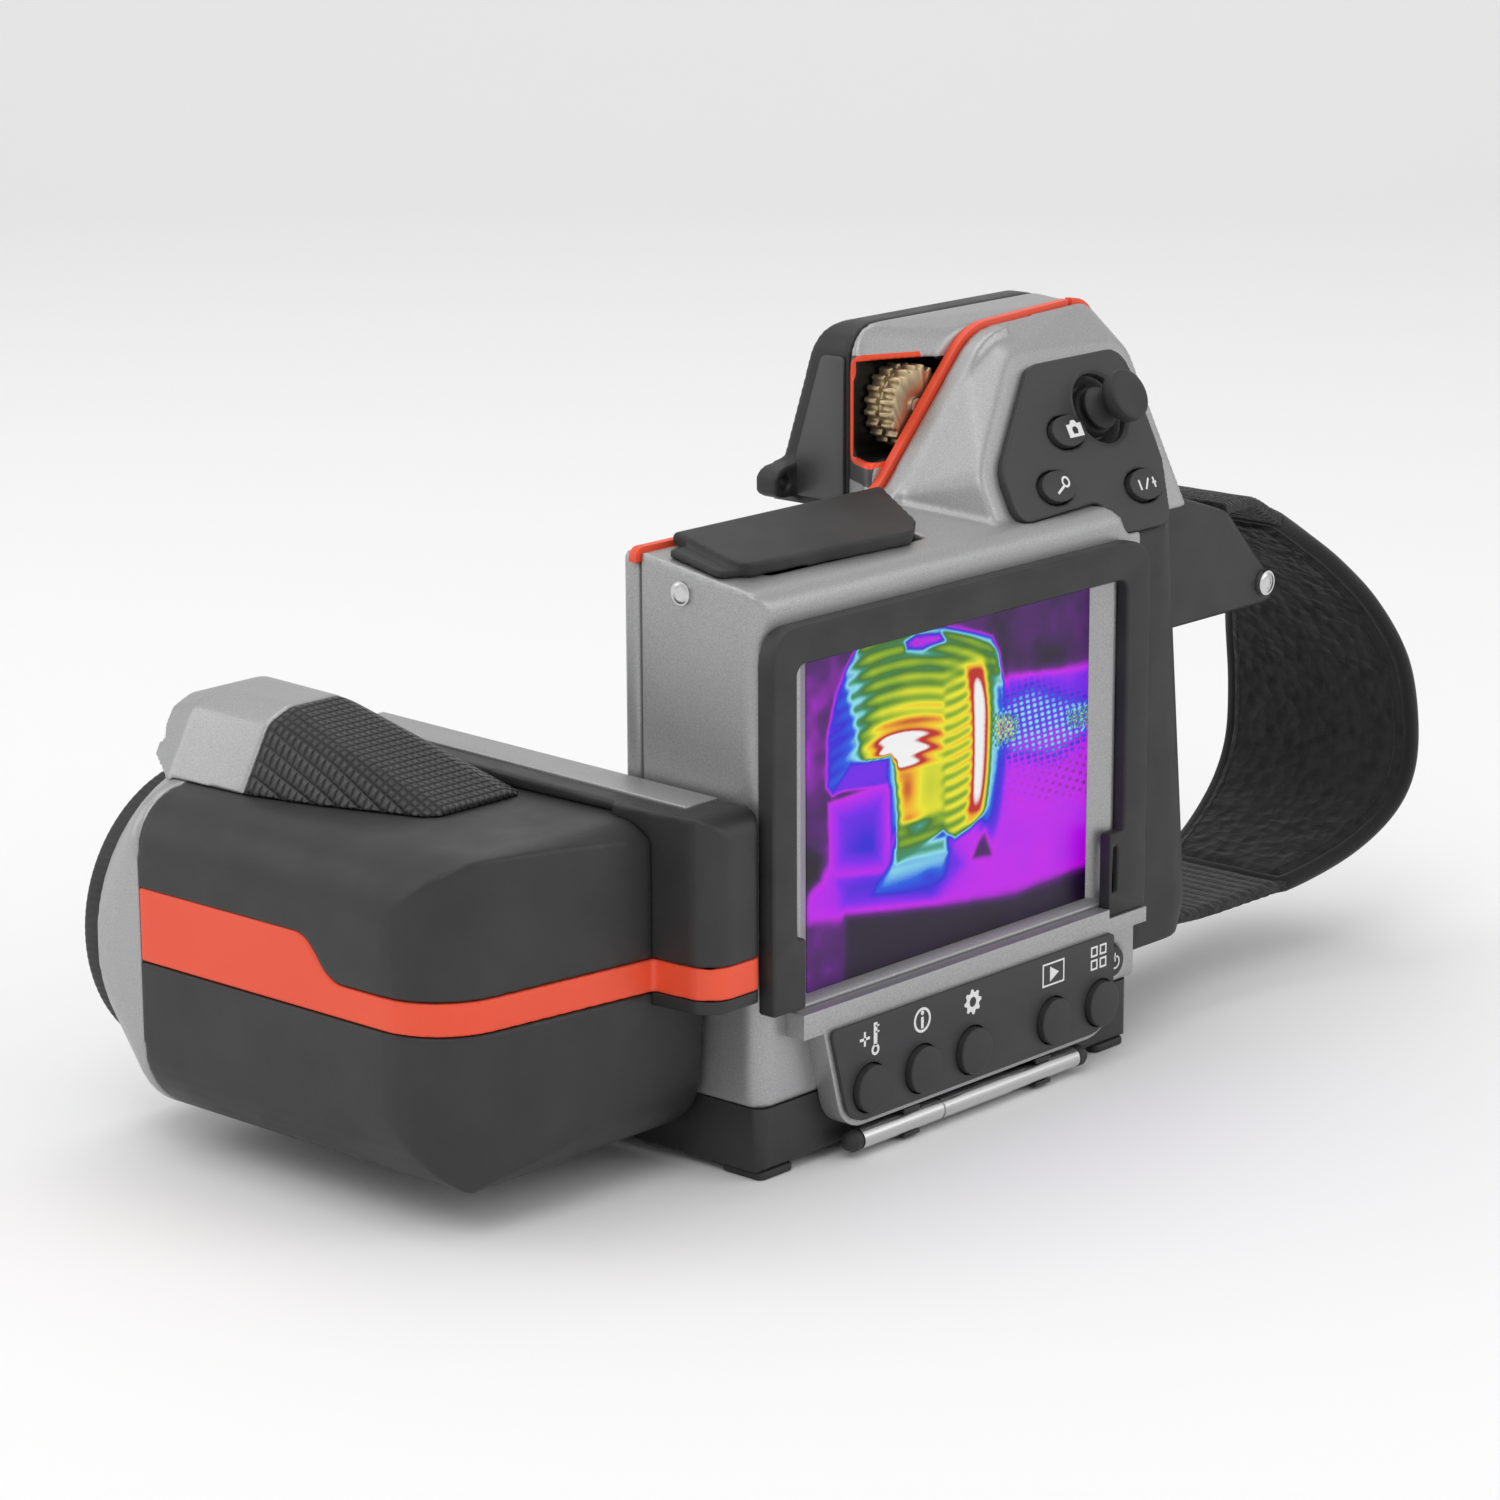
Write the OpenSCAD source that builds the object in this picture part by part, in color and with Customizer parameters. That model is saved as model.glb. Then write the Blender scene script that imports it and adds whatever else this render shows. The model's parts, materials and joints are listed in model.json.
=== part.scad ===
// Hand-held thermal imaging camera: a screen body with a side grip and hand strap,
// and a lens unit that tilts on a pivot at the body's left side.
// X points right as the user sees the screen, Y forward, Z up. Millimetres.
// The origin is the mouth of the tripod socket, on the underside of the base.

/* [Body] */
// Width of the body behind the screen
body_w = 96.4; // [95:0.2:98]
// Rear face of the body
rear_y = -19.2; // [-19.6:0.1:-18.8]
// Plane where the rear and front shells meet
seam_y = 6; // [5.5:0.1:6.5]
// Underside of the painted shells
shell_z = 10.4; // [10:0.1:11]
// Height of the body's top at the seam
top_z = 96.4; // [96:0.1:97]
// Slope of the top, falling towards the rear, in degrees
top_slope = 8.5; // [7:0.5:9]
// Wall thickness of the shells
wall = 2.2; // [1.8:0.1:2.6]

/* [Screen] */
// Width of the visible screen
screen_w = 71.12; // [70:0.01:72]
// Height of the visible screen
screen_h = 53.34; // [53:0.01:54]
// Left edge of the visible screen
screen_x = -36.5; // [-37:0.1:-36]
// Lower edge of the visible screen
screen_z = 27; // [26.5:0.1:27.5]

/* [Control pod] */
// Top of the pod
pod_z = 122.9; // [121:0.1:124]
// Right side of the pod
pod_x = 66.3; // [66:0.1:67]
// Backward tilt of the thumb panel, in degrees
panel_tilt = 27; // [25:1:29]
// Travel of every key
key_travel = 0.8; // [0.6:0.1:0.9]

/* [Lens unit] */
// Lens axis, sideways
lens_x = -76.5; // [-76.8:0.1:-76.2]
// Lens axis, height
lens_z = 32; // [31.5:0.1:32.5]
// Right side of the lens unit, beside the body
arm_x = -49.6; // [-49.8:0.1:-49.6]
// Left side of the lens unit
lens_left = -103.5; // [-104:0.1:-103]
// Lower edge of the coloured stripe
stripe_z = 31.3; // [31:0.1:31.6]
// Height of the narrow stripe
stripe_h = 5.3; // [5:0.1:5.6]
// Radius of the pivot shaft
hub_r = 7; // [6.5:0.1:7.2]

/* [Hand strap] */
// Widest part of the strap pad
strap_w = 42; // [38:1:44]
// Thickness of the strap pad
strap_t = 5; // [4:0.5:6]

/* [Hidden] */

paint = "silver";
dark = "dimgray";
rubber = "#3c3c3e";
accent = "orangered";
half_w = body_w / 2;
hub_y = -5;            // pivot axis of the lens unit
hub_z = 41;
panel_y = -15.95;      // a point on the thumb panel's outer face, at panel_z
panel_z = 93;
panel_t = 1.6;         // how far the thumb panel stands proud
stick_x = 49.4;        // joystick centre on the thumb panel
stick_v = 16.3;
wheel_x = 21.5;
wheel_y = 11;
wheel_z = 109.6;
wheel_r = 7;
key_z = 10.2;
key_r = 3.9;
tray_y = -23;          // rear face of the key tray
pen_y = -22;
pen_z = 1.5;
pen_r = 1.8;
flap_hinge_y = 3.4;
door_hinge_y = 34.9;
door_hinge_z = 3.4;
strap_y = 0.5;         // middle of the strap, front to rear

// ---- outlines with rounded corners ----
function unit(v) = v / norm(v);
function corner(p0, p1, p2, r, n) = r <= 0 ? [p1] :
  let(a = unit(p0 - p1), b = unit(p2 - p1), half = acos(a * b) / 2,
      c = p1 + unit(a + b) * r / sin(half),
      s = p1 + a * r / tan(half) - c, e = p1 + b * r / tan(half) - c,
      from = atan2(s[1], s[0]), raw = atan2(e[1], e[0]) - from,
      turn = raw > 180 ? raw - 360 : (raw < -180 ? raw + 360 : raw))
  [for (i = [0:n]) c + r * [cos(from + turn * i / n), sin(from + turn * i / n)]];
function xy_of(v) = [v[0], v[1]];
function at(v, i) = v[(i + len(v)) % len(v)];
// Each vertex is [x, y] or [x, y, corner radius], counter-clockwise.
function rounded(v, n = 6) = [for (i = [0:len(v) - 1])
  each corner(xy_of(at(v, i - 1)), xy_of(v[i]), xy_of(at(v, i + 1)), len(v[i]) > 2 ? v[i][2] : 0, n)];
// The same outline moved inwards by d, with its corner radii adjusted.
function inset(v, d) = [for (i = [0:len(v) - 1])
  let(p = xy_of(v[i]), e1 = unit(p - xy_of(at(v, i - 1))), e2 = unit(xy_of(at(v, i + 1)) - p),
      n1 = [-e1[1], e1[0]], n2 = [-e2[1], e2[0]], side = sign(e1[0] * e2[1] - e1[1] * e2[0]),
      q = p + (n1 + n2) * d / (1 + n1 * n2), r = len(v[i]) > 2 ? v[i][2] : 0)
  [q[0], q[1], r > 0 ? max(r - side * d, 0.2) : 0]];
function box_outline(x0, x1, y0, y1, r = 0) = [[x0, y0, r], [x1, y0, r], [x1, y1, r], [x0, y1, r]];
function ellipse(a, b, n = 28) = [for (i = [0:n - 1]) [a * cos(360 * i / n), b * sin(360 * i / n)]];
function moved(v, x, y) = [for (p = v) [p[0] + x, p[1] + y]];

// ---- solids from outlines: the first two letters name the plane of the outline ----
module xz(y0, y1) { translate([0, y1, 0]) rotate([90, 0, 0]) linear_extrude(y1 - y0) children(); }
module yz(x0, x1) { translate([x0, 0, 0]) rotate([90, 0, 90]) linear_extrude(x1 - x0) children(); }
module xy(z0, z1) { translate([0, 0, z0]) linear_extrude(z1 - z0) children(); }
module block(x0, x1, y0, y1, z0, z1) {
  translate([x0, y0, z0]) cube([x1 - x0, y1 - y0, z1 - z0]);
}
module rod_x(x0, x1, y, z, r) {
  translate([x0, y, z]) rotate([0, 90, 0]) cylinder(h = x1 - x0, r = r, $fn = 48);
}
module rod_y(y0, y1, x, z, r) {
  translate([x, y0, z]) rotate([-90, 0, 0]) cylinder(h = y1 - y0, r = r, $fn = 48);
}
module rod_z(z0, z1, x, y, r) {
  translate([x, y, z0]) cylinder(h = z1 - z0, r = r, $fn = 48);
}
// The thumb panel's own frame: its outer face is y = 0, x as the body, z up the slope.
module on_panel() { translate([0, panel_y, panel_z]) rotate([-panel_tilt, 0, 0]) children(); }
// The sloping top's own frame: z = 0 is the surface, y = 0 the seam.
module on_top() { translate([0, seam_y, top_z]) rotate([top_slope, 0, 0]) children(); }

// ---- main outlines ----
rear_top_z = top_z - (seam_y - rear_y) * tan(top_slope);
body_side = [[rear_y, shell_z, 1], [seam_y, shell_z], [seam_y, top_z], [rear_y, rear_top_z, 3.5]];
body_plan = [[-half_w, seam_y], [-half_w, rear_y, 3.5], [half_w, rear_y, 1.5], [half_w, seam_y]];
// The seam seen from the rear: level top, a hollow, a 46 degree flank and the pod's crown.
seam_line = [[-half_w, shell_z, 3], [half_w, shell_z], [half_w, 90], [pod_x, 90],
  [pod_x, pod_z, 6], [32.5, pod_z - 1.5, 12], [8.6, top_z, 8], [-half_w, top_z, 1]];
pod_seam = [[8.6, 89], [pod_x, 89], [pod_x, pod_z, 6], [32.5, pod_z - 1.5, 12], [8.6, top_z]];
pod_back = [[15.5, -3], [64.5, -3], [64.5, 27.5, 4], [34, 29, 6], [15.5, 10, 6]];
pod_front = [[13.2, 92], [pod_x, 92], [pod_x, pod_z + 0.4, 6], [13.2, pod_z + 0.4, 6]];
panel_outline = [[19.4, 0, 3], [40.5, 0.9, 3], [44, -5.4, 2], [57, -5.4, 4], [60.9, 6, 12],
  [60.9, 26, 4], [36, 26, 5], [19.4, 9.5, 7]];
tray_outline = [[-42.4, 25.6], [-42.4, 23.4], [-38, 22.6], [-33.2, 4.2, 6], [36.8, 4.2, 7],
  [36.8, 21.4], [45.6, 21.4], [45.6, 25.6]];
key_area = [[-32.2, 5.1, 5], [35.9, 5.1, 6], [35.9, 21.6, 0.8], [-36.6, 21.6, 0.8]];
lens_plan = [[lens_left, 63], [lens_left, -3.5, 13], [arm_x, -11, 1.5], [arm_x, 63]];
lens_side = [[63, 4.6], [63, 58.5], [-11.5, 58.5, 8], [-7, 4.6, 10]];
lens_face = [[lens_left, 4.6, 13], [arm_x, 4.6, 5], [arm_x, 58.5, 3], [lens_left, 58.5, 10]];
arm_plan = [[-62.5, 0], [-61.2, -21, 5], [arm_x, -21, 2], [arm_x, 0]];
hood_face = [[-93.5, 58], [-60.5, 58], [-68, 69.5, 4], [-72, 71.5, 5], [-82, 71.5, 5], [-87, 69.5, 4]];

// ================= screen body =================
module pod_rear_solid(d) {
  hull() {
    xz(seam_y - 1, seam_y) polygon(rounded(inset(pod_seam, d)));
    on_panel() xz(panel_t + d, panel_t + d + 1) polygon(rounded(inset(pod_back, d)));
  }
}
module rear_solid(d = 0) {
  intersection() {
    xy(shell_z + d, pod_z) polygon(rounded(inset(body_plan, d)));
    yz(-half_w + d, half_w - d) polygon(rounded(inset(body_side, d)));
  }
  pod_rear_solid(d);
}
module rear_housing() {
  color(paint)
  difference() {
    union() {
      rear_solid();
      xz(2, seam_y) intersection() {
        polygon(rounded(seam_line));
        translate([8.2, top_z - 4]) square([30, 30]);
      }
    }
    difference() {
      union() {
        rear_solid(wall);
        translate([0, wall, 0]) rear_solid(wall);
      }
      block(-42, 6, -14, seam_y, 83, top_z);
      on_panel() rod_y(0, 8.5, stick_x, stick_v, 8.2);
      on_panel() block(24, 60, 0, 5, -6, 10);
      block(-half_w, -42, -16, seam_y, 29, 53);
    }
    block(-41.2, 39.3, rear_y - 1, rear_y + wall + 0.1, 25.6, 81.6);
    rod_x(-half_w - 1, -43, hub_y, hub_z, 9);
    rod_x(-43.1, -41.9, hub_y, hub_z, 9.4);
    block(-38, -0.5, -12, 3, 85, top_z + 1);
    rod_y(rear_y - 1, rear_y + 3.4, 40.9, 14.6, 2.95);
    rod_y(rear_y + wall, rear_y + 5, 40.9, 14.6, 3.8);
    on_panel() {
      xz(-3, panel_t) polygon(rounded(inset(panel_outline, -0.15)));
      rod_y(0, 7.6, stick_x, stick_v, 6.6);
      rod_x(stick_x - 7.7, stick_x + 7.7, 4.2, stick_v, 0.86);
      for (k = [[38.6, 13.5], [31.1, 4.8], [53, 1.8]])
        xz(panel_t - 0.1, panel_t + 2.4) polygon(moved(ellipse(5.1, 3.5), k[0], k[1]));
    }
  }
}
module seam_trim() {
  color(accent)
  xz(seam_y, seam_y + 1.5) intersection() {
    difference() {
      polygon(rounded(inset(seam_line, -0.7), 10));
      polygon(rounded(inset(seam_line, 1.8), 10));
    }
    trim_zone();
  }
}
// Where the coloured seam trim shows: along the top, over the pod and part of its right side.
module trim_zone() {
  translate([-half_w - 1, top_z - 1.6]) square([half_w + 60, 40]);
  translate([60, 112]) square([12, 20]);
}
module front_bulge(d) {
  hull() {
    xz(9.2, 10.2) polygon(rounded(box_outline(4 + d, half_w - d, 24.2 + d, 90 - d, 4)));
    xz(32 - d, 33 - d) polygon(rounded(box_outline(12 + d, half_w - d, 30 + d, 87.4 - d, 6)));
  }
}
module pod_strip() {
  hull() {
    xz(seam_y + 0.2, seam_y + 1.7) polygon(rounded(pod_seam));
    xz(15, 16) polygon(rounded(pod_front));
  }
}
module front_housing() {
  color(paint)
  difference() {
    union() {
      xz(seam_y + 0.2, 9.4) intersection() {
        polygon(rounded(seam_line));
        translate([-half_w, shell_z]) square([body_w, top_z]);
      }
      front_bulge(0);
      pod_strip();
    }
    translate([0, -1.2, 0]) front_bulge(wall);
    block(24, half_w - wall, 5, 14, 88, 112);
    xz(seam_y, seam_y + 1.5) difference() {
      trim_zone();
      polygon(rounded(inset(seam_line, 1.8), 10));
    }
    block(8, 29.5, wheel_y - 3.3, wheel_y + 3.3, wheel_z - 7.8, wheel_z + 7.8);
    rod_y(seam_y, 16.5, wheel_x, wheel_z, 1.5);
    rod_y(28, 34, 30, 78, 5.3);
  }
}
module base_housing() {
  color(dark)
  difference() {
    intersection() {
      xy(0, 24) polygon(rounded([[-half_w, 36, 5], [-half_w, -19, 2], [46.4, -19, 2], [46.4, 36, 5]]));
      yz(-half_w, 46.4) polygon(rounded([[-19, 0, 1.5], [36, 0, 2], [36, 24, 8], [9.6, 24],
        [9.6, shell_z], [-19, shell_z]]));
    }
    rod_z(-1, 9, 0, 0, 6);
    block(-34.6, 34.6, 11.6, 37, 2.6, 20.8);
    block(-37.8, 37.8, 33.8, 37, 1.6, 22);
    rod_x(-40, 40, door_hinge_y, door_hinge_z, 1.05);
  }
}
module battery_door() {
  color(dark)
  union() {
    block(-37.3, 37.3, 34, 36, door_hinge_z, 21.6);
    rod_x(-37.3, 37.3, door_hinge_y, door_hinge_z, 1);
    rod_x(-39.6, 39.6, door_hinge_y, door_hinge_z, 1);
    xz(36, 36.5) polygon(rounded(box_outline(-9, 9, 15.5, 19.5, 1.8)));
  }
}
module battery_pack() {
  color(rubber) block(-34, 34, 12, 33.4, 3, 20.4);
}
module feet() {
  color(rubber)
  for (x = [-43.7, 41.9], y = [-14.2, 30.8])
    xy(-1.5, 0) polygon(rounded(box_outline(x - 4, x + 4, y - 4.4, y + 4.4, 1.2)));
}
module tripod_insert() {
  color("goldenrod")
  difference() {
    rod_z(0, 9, 0, 0, 6);
    rod_z(-1, 7, 0, 0, 3.175);
  }
}
module lcd_bezel() {
  color(paint)
  difference() {
    block(-41.2, 39.3, -20.5, -17, 25.6, 81.6);
    hull() {
      block(-40.4, 38.5, -20.7, -20.5, 26.2, 81.2);
      block(screen_x, screen_x + screen_w, -18.3, -18.2, screen_z, screen_z + screen_h);
    }
    block(-38.4, 36.5, -18.2, -16, 26.2, 81.1);
  }
}
module touch_glass() {
  color("lightblue", 0.4) block(-38.4, 36.5, -18.2, -17.4, 26.2, 81.1);
}
module lcd_panel() {
  color("midnightblue") block(-38.4, 36.5, -17.4, -14.2, 26.2, 81.1);
}
module screen_frame() {
  color(rubber)
  union() {
    xz(-22.7, -20.5) difference() {
      polygon(rounded([[-49, 26.6], [-41.4, 26.6], [-41.4, 38], [-43.4, 38], [-43.4, 81.8, 2],
        [39.5, 81.8, 2], [39.5, 38.6], [35.6, 38.6], [35.6, 24], [45.7, 24], [45.7, 87.8, 5],
        [-49, 87.8, 5.5]]));
      translate([36.8, 28.2]) square([1.1, 8]);
    }
    xz(-20.5, rear_y) polygon(rounded([[-49, 26.6], [-43.4, 26.6], [-43.4, 81.8, 2],
      [39.5, 81.8, 2], [39.5, 26.6], [45.7, 26.6], [45.7, 87.8, 5], [-49, 87.8, 5.5]]));
  }
}
key_xs = [-27.3, -14.5, -1.7, 19.4, 32.2];
module key_tray() {
  color(paint)
  difference() {
    union() {
      xz(tray_y, rear_y) polygon(rounded(tray_outline));
      hull() {
        block(-42.4, 45.6, -20.6, rear_y, 21.5, 25.6);
        block(-42.4, 45.6, tray_y, tray_y + 0.4, 21.5, 23.4);
      }
    }
    xz(tray_y - 1, tray_y + 1) polygon(rounded(key_area));
    for (x = key_xs) rod_y(tray_y, rear_y - 0.6, x, key_z, 4.8);
    block(35.4, 46, tray_y - 1, -20.5, 24, 27);
  }
}
module key_panel() {
  color(rubber)
  difference() {
    xz(tray_y - 0.7, tray_y + 1) polygon(rounded(key_area));
    for (x = key_xs) rod_y(tray_y - 2, tray_y + 2, x, key_z, key_r + 0.3);
  }
}
module round_key(x) {
  color(dark)
  union() {
    rod_y(tray_y - 1.9, tray_y + 1.2, x, key_z, key_r);
    rod_y(tray_y + 1.2, tray_y + 2, x, key_z, 4.5);
  }
}
module measure_key() { round_key(key_xs[0]); }
module info_key() { round_key(key_xs[1]); }
module setup_key() { round_key(key_xs[2]); }
module play_key() { round_key(key_xs[3]); }
module menu_key() { round_key(key_xs[4]); }
module power_key() {
  color(dark)
  union() {
    rod_y(rear_y - 0.9, rear_y + 2.4, 40.9, 14.6, 2.6);
    rod_y(rear_y + 2.4, rear_y + 3.2, 40.9, 14.6, 3.5);
  }
}
module pod_panel() {
  color(rubber)
  on_panel() difference() {
    xz(0, panel_t) polygon(rounded(panel_outline));
    rod_y(-1, 3, stick_x, stick_v, 6.2);
    for (k = [[38.6, 13.5], [31.1, 4.8], [53, 1.8]])
      xz(-1, 3) polygon(moved(ellipse(4.6, 3), k[0], k[1]));
  }
}
module oval_key(x, v) {
  color(dark)
  on_panel() union() {
    xz(-0.9, panel_t + 0.2) polygon(moved(ellipse(4.3, 2.7), x, v));
    xz(panel_t + 0.2, panel_t + 1) polygon(moved(ellipse(4.8, 3.2), x, v));
  }
}
module camera_key() { oval_key(38.6, 13.5); }
module zoom_key() { oval_key(31.1, 4.8); }
module range_key() { oval_key(53, 1.8); }
module joystick_gimbal() {
  color("gray")
  on_panel() difference() {
    union() {
      rod_y(2.6, 5.8, stick_x, stick_v, 4.6);
      rod_x(stick_x - 7.5, stick_x + 7.5, 4.2, stick_v, 0.8);
    }
    rod_y(2, 7, stick_x, stick_v, 3.4);
    rod_z(stick_v - 5, stick_v + 5, stick_x, 4.2, 0.76);
  }
}
module joystick_stem() {
  color("gray")
  on_panel() union() {
    translate([stick_x, 4.2, stick_v]) sphere(r = 2.6, $fn = 48);
    rod_y(-4.2, 4.2, stick_x, stick_v, 1.4);
    rod_z(stick_v - 4.3, stick_v + 4.3, stick_x, 4.2, 0.7);
  }
}
module joystick_cap() {
  color(rubber)
  on_panel() difference() {
    union() {
      rod_y(-4.4, 0.6, stick_x, stick_v, 3.2);
      rod_y(-7.6, -4.4, stick_x, stick_v, 4.5);
    }
    rod_y(-5.2, 1, stick_x, stick_v, 1.45);
  }
}
function toothed(r, tooth, n) = [for (i = [0:n - 1], k = [0:3])
  let(a = 360 * (i + [0, 0.15, 0.5, 0.65][k]) / n, q = (k == 1 || k == 2) ? r : r - tooth)
  [q * cos(a), q * sin(a)]];
module adjust_wheel() {
  color("khaki")
  translate([wheel_x, 0, wheel_z]) difference() {
    union() {
      xz(wheel_y - 2.9, wheel_y - 0.4) polygon(toothed(wheel_r, 0.8, 20));
      xz(wheel_y - 0.4, wheel_y + 0.4) circle(r = wheel_r - 1.2, $fn = 48);
      xz(wheel_y + 0.4, wheel_y + 2.9) polygon(toothed(wheel_r, 0.8, 20));
    }
    rod_y(0, 20, 0, 0, 1.55);
  }
}
module wheel_axle() {
  color("lightgray") rod_y(7.6, 16, wheel_x, wheel_z, 1.5);
}
module trigger_button() {
  color(dark)
  union() {
    rod_y(28.4, 35.4, 30, 78, 5);
    rod_y(27.2, 28.4, 30, 78, 6.2);
  }
}
module grip_solid(d) {
  hull() {
    xy(14 + d, 15 + d) polygon(rounded(inset(grip_plan(66.5), d)));
    xy(20, 21) polygon(rounded(inset(grip_plan(68.6), d)));
    xy(89 - d, 90 - d) polygon(rounded(inset(grip_plan(62), d)));
  }
}
function grip_plan(x1) = [[half_w, -17.8], [x1, -17.8, 8], [x1, 33, 12], [half_w, 33]];
module grip_cover() {
  color(rubber)
  difference() {
    union() {
      grip_solid(0);
      block(half_w, 56, -12, 26, 12.2, 16);
    }
    translate([-wall - 0.1, 0, 0]) grip_solid(wall);
    pod_rear_solid(0);
    pod_strip();
    on_panel() xz(-3, panel_t) polygon(rounded(inset(panel_outline, -0.2)));
  }
}
wing_outline = [[58, 90], [58, 66.1], [98.5, 66.1, 2.5], [99.6, 69.5, 2], [85, 84.6, 5], [69, 90]];
module strap_wing() {
  color(rubber)
  difference() {
    xz(-9.9, 14) polygon(rounded(wing_outline));
    grip_solid(0);
    pod_rear_solid(0);
    pod_strip();
    rod_y(-11, 15, 95.5, 70.2, 1.5);
  }
}
module strap_pin() {
  color("lightgray")
  union() {
    rod_y(-9.9, 14, 95.5, 70.2, 1.5);
    rod_y(-10.9, -9.9, 95.5, 70.2, 2.2);
  }
}
// Middle line of the strap in the X-Z plane, with the half width at each point.
strap_path = [[83, 83.6, 10], [92.4, 84.4, 10], [100, 81, 10.5], [107.5, 76.3, 11.5],
  [115, 70, 14], [122.5, 62, 17], [127.5, 52, 20], [130, 41, 21], [129.6, 31, 21],
  [125, 24, 20], [116, 18.4, 18],
  [104, 14.6, 15], [92, 12.9, 12], [78, 12.4, 10.5], [64, 14, 10]];
function side_of(i) = let(n = len(strap_path), a = strap_path[max(i - 1, 0)],
  b = strap_path[min(i + 1, n - 1)],
  t = unit([b[0] - a[0], b[1] - a[1]])) [-t[1], t[0]];
module strap_band(first, last, t) {
  rows = [for (i = [first:last]) let(p = strap_path[i], s = side_of(i) * t / 2)
    [[p[0] + s[0], strap_y - p[2], p[1] + s[1]], [p[0] + s[0], strap_y + p[2], p[1] + s[1]],
     [p[0] - s[0], strap_y + p[2], p[1] - s[1]], [p[0] - s[0], strap_y - p[2], p[1] - s[1]]]];
  n = len(rows);
  polyhedron(points = [for (r = rows) each r],
    faces = concat([[0, 1, 2, 3]], [for (i = [0:n - 2], k = [0:3])
      [i * 4 + k, (i + 1) * 4 + k, (i + 1) * 4 + (k + 1) % 4, i * 4 + (k + 1) % 4]],
      [[4 * n - 1, 4 * n - 2, 4 * n - 3, 4 * n - 4]]));
}
module strap_pad() { color("#262628") strap_band(3, 12, strap_t); }
module strap_webbing() {
  color("#303032")
  difference() {
    union() {
      strap_band(0, 3, 2.4);
      strap_band(12, 14, 2.4);
    }
    grip_solid(0);
    xz(-12, 14) polygon(rounded(wing_outline));
  }
}
module housing_screws() {
  color("lightgray")
  union() {
    rod_x(-half_w - 0.5, -half_w, -3.1, 91.2, 1.9);
    for (x = [-40, -3], z = [30, 88]) rod_y(9.4, 9.9, x, z, 2);
  }
}
module pod_cap() {
  color(rubber)
  difference() {
    union() {
      intersection() {
        xz(16, 34) polygon(rounded(pod_front));
        yz(13.2, pod_x) polygon(rounded([[16, 92], [33, 92], [22.8, pod_z + 0.4, 4],
          [16, pod_z + 0.4]]));
      }
      xz(27, 31.5) polygon(rounded([[7.4, 93.6, 1.5], [14, 93], [14, 99.4], [7.4, 98.2, 2]]));
    }
    rod_y(26, 33, 9.9, 95.9, 1.2);
  }
}
module pod_side_panel() {
  color("gray")
  difference() {
    yz(12.5, 13.2) polygon(rounded([[16.6, 93.6, 0.8], [29.2, 93.6, 1], [21.4, 118, 1.5], [16.6, 118, 0.8]]));
    block(10, 15, 26.9, 32, 90, 99.5);
  }
}
flap_outline = [[-44.4, -18, 2.5], [-6, -20, 3], [-1, -16.5, 3], [8, -1.4], [-41.2, -1.4]];
module connector_flap() {
  color(rubber)
  on_top() union() {
    xy(0.15, 2.5) polygon(rounded(flap_outline));
    xy(0.15, 1.4) polygon(rounded([[-47.2, -16, 0.8], [-42, -17.6], [-41, -4.2], [-46, -4.2, 0.8]]));
    rod_x(-41.2, 8, -1.4, 1.33, 1.17);
  }
}
module connector_block() {
  color("black")
  difference() {
    block(-38, -0.5, -12, 3, 85, 92);
    block(-20, -7, -7.4, -1.6, 86, 93);
    rod_z(86, 93, -29.5, -4.5, 4.1);
  }
}
module main_board() {
  color("seagreen") block(-36, 44, -9, -7.4, 14, 80);
}
module stylus_barrel() {
  color("lightgray")
  union() {
    rod_x(-28.5, -9, pen_y, pen_z, pen_r);
    rod_x(-9, -8.4, pen_y, pen_z, pen_r - 0.2);
    rod_x(-8.4, 9, pen_y, pen_z, pen_r);
    rod_x(9, 27, pen_y, pen_z, pen_r - 0.1);
  }
}
module pen_tip() {
  rotate_extrude($fn = 48)
    polygon([[0, 0], [1.5, 0], [pen_r, 0.5], [pen_r, 1.6], [1.3, 2.5], [0.6, 2.9], [0, 3]]);
}
module stylus_tips() {
  color("black")
  union() {
    translate([-28.5, pen_y, pen_z]) rotate([0, -90, 0]) pen_tip();
    translate([27, pen_y, pen_z]) rotate([0, 90, 0]) pen_tip();
  }
}
module stylus_clips() {
  color(rubber)
  for (x = [-18, 16])
    difference() {
      yz(x, x + 4) union() {
        translate([pen_y, pen_z]) circle(r = 2.6, $fn = 48);
        translate([pen_y, pen_z - 0.2]) square([-19 - pen_y, 2.2]);
      }
      rod_x(x - 1, x + 5, pen_y, pen_z, pen_r + 0.08);
      block(x - 1, x + 5, pen_y - 4, pen_y - 1, pen_z - 3, pen_z + 3);
    }
}

// ================= lens unit =================
module pivot_bush() {
  color("goldenrod")
  difference() {
    rod_x(-half_w, -43, hub_y, hub_z, 9);
    rod_x(-half_w - 1, -42, hub_y, hub_z, hub_r + 0.05);
  }
}
module pivot_hub() {
  color("lightgray")
  difference() {
    union() {
      rod_x(-60, -42.6, hub_y, hub_z, hub_r);
      rod_x(-42.6, -41.2, hub_y, hub_z, 8.4);
    }
    rod_x(-61, -41, hub_y, hub_z, 4.4);
  }
}
module lens_solid(d = 0) {
  intersection() {
    xy(4.6 + d, 58.5 - d) polygon(rounded(inset(lens_plan, d), 8));
    yz(lens_left + d, arm_x - d) polygon(rounded(inset(lens_side, d), 8));
    xz(-20, 63 - d) polygon(rounded(inset(lens_face, d), 8));
  }
}
label_outline = [[14, stripe_z + stripe_h - 1], [64, stripe_z + stripe_h - 1], [64, 43.5], [25, 43.5, 5],
  [19, stripe_z + stripe_h, 6], [14, stripe_z + stripe_h]];
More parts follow.
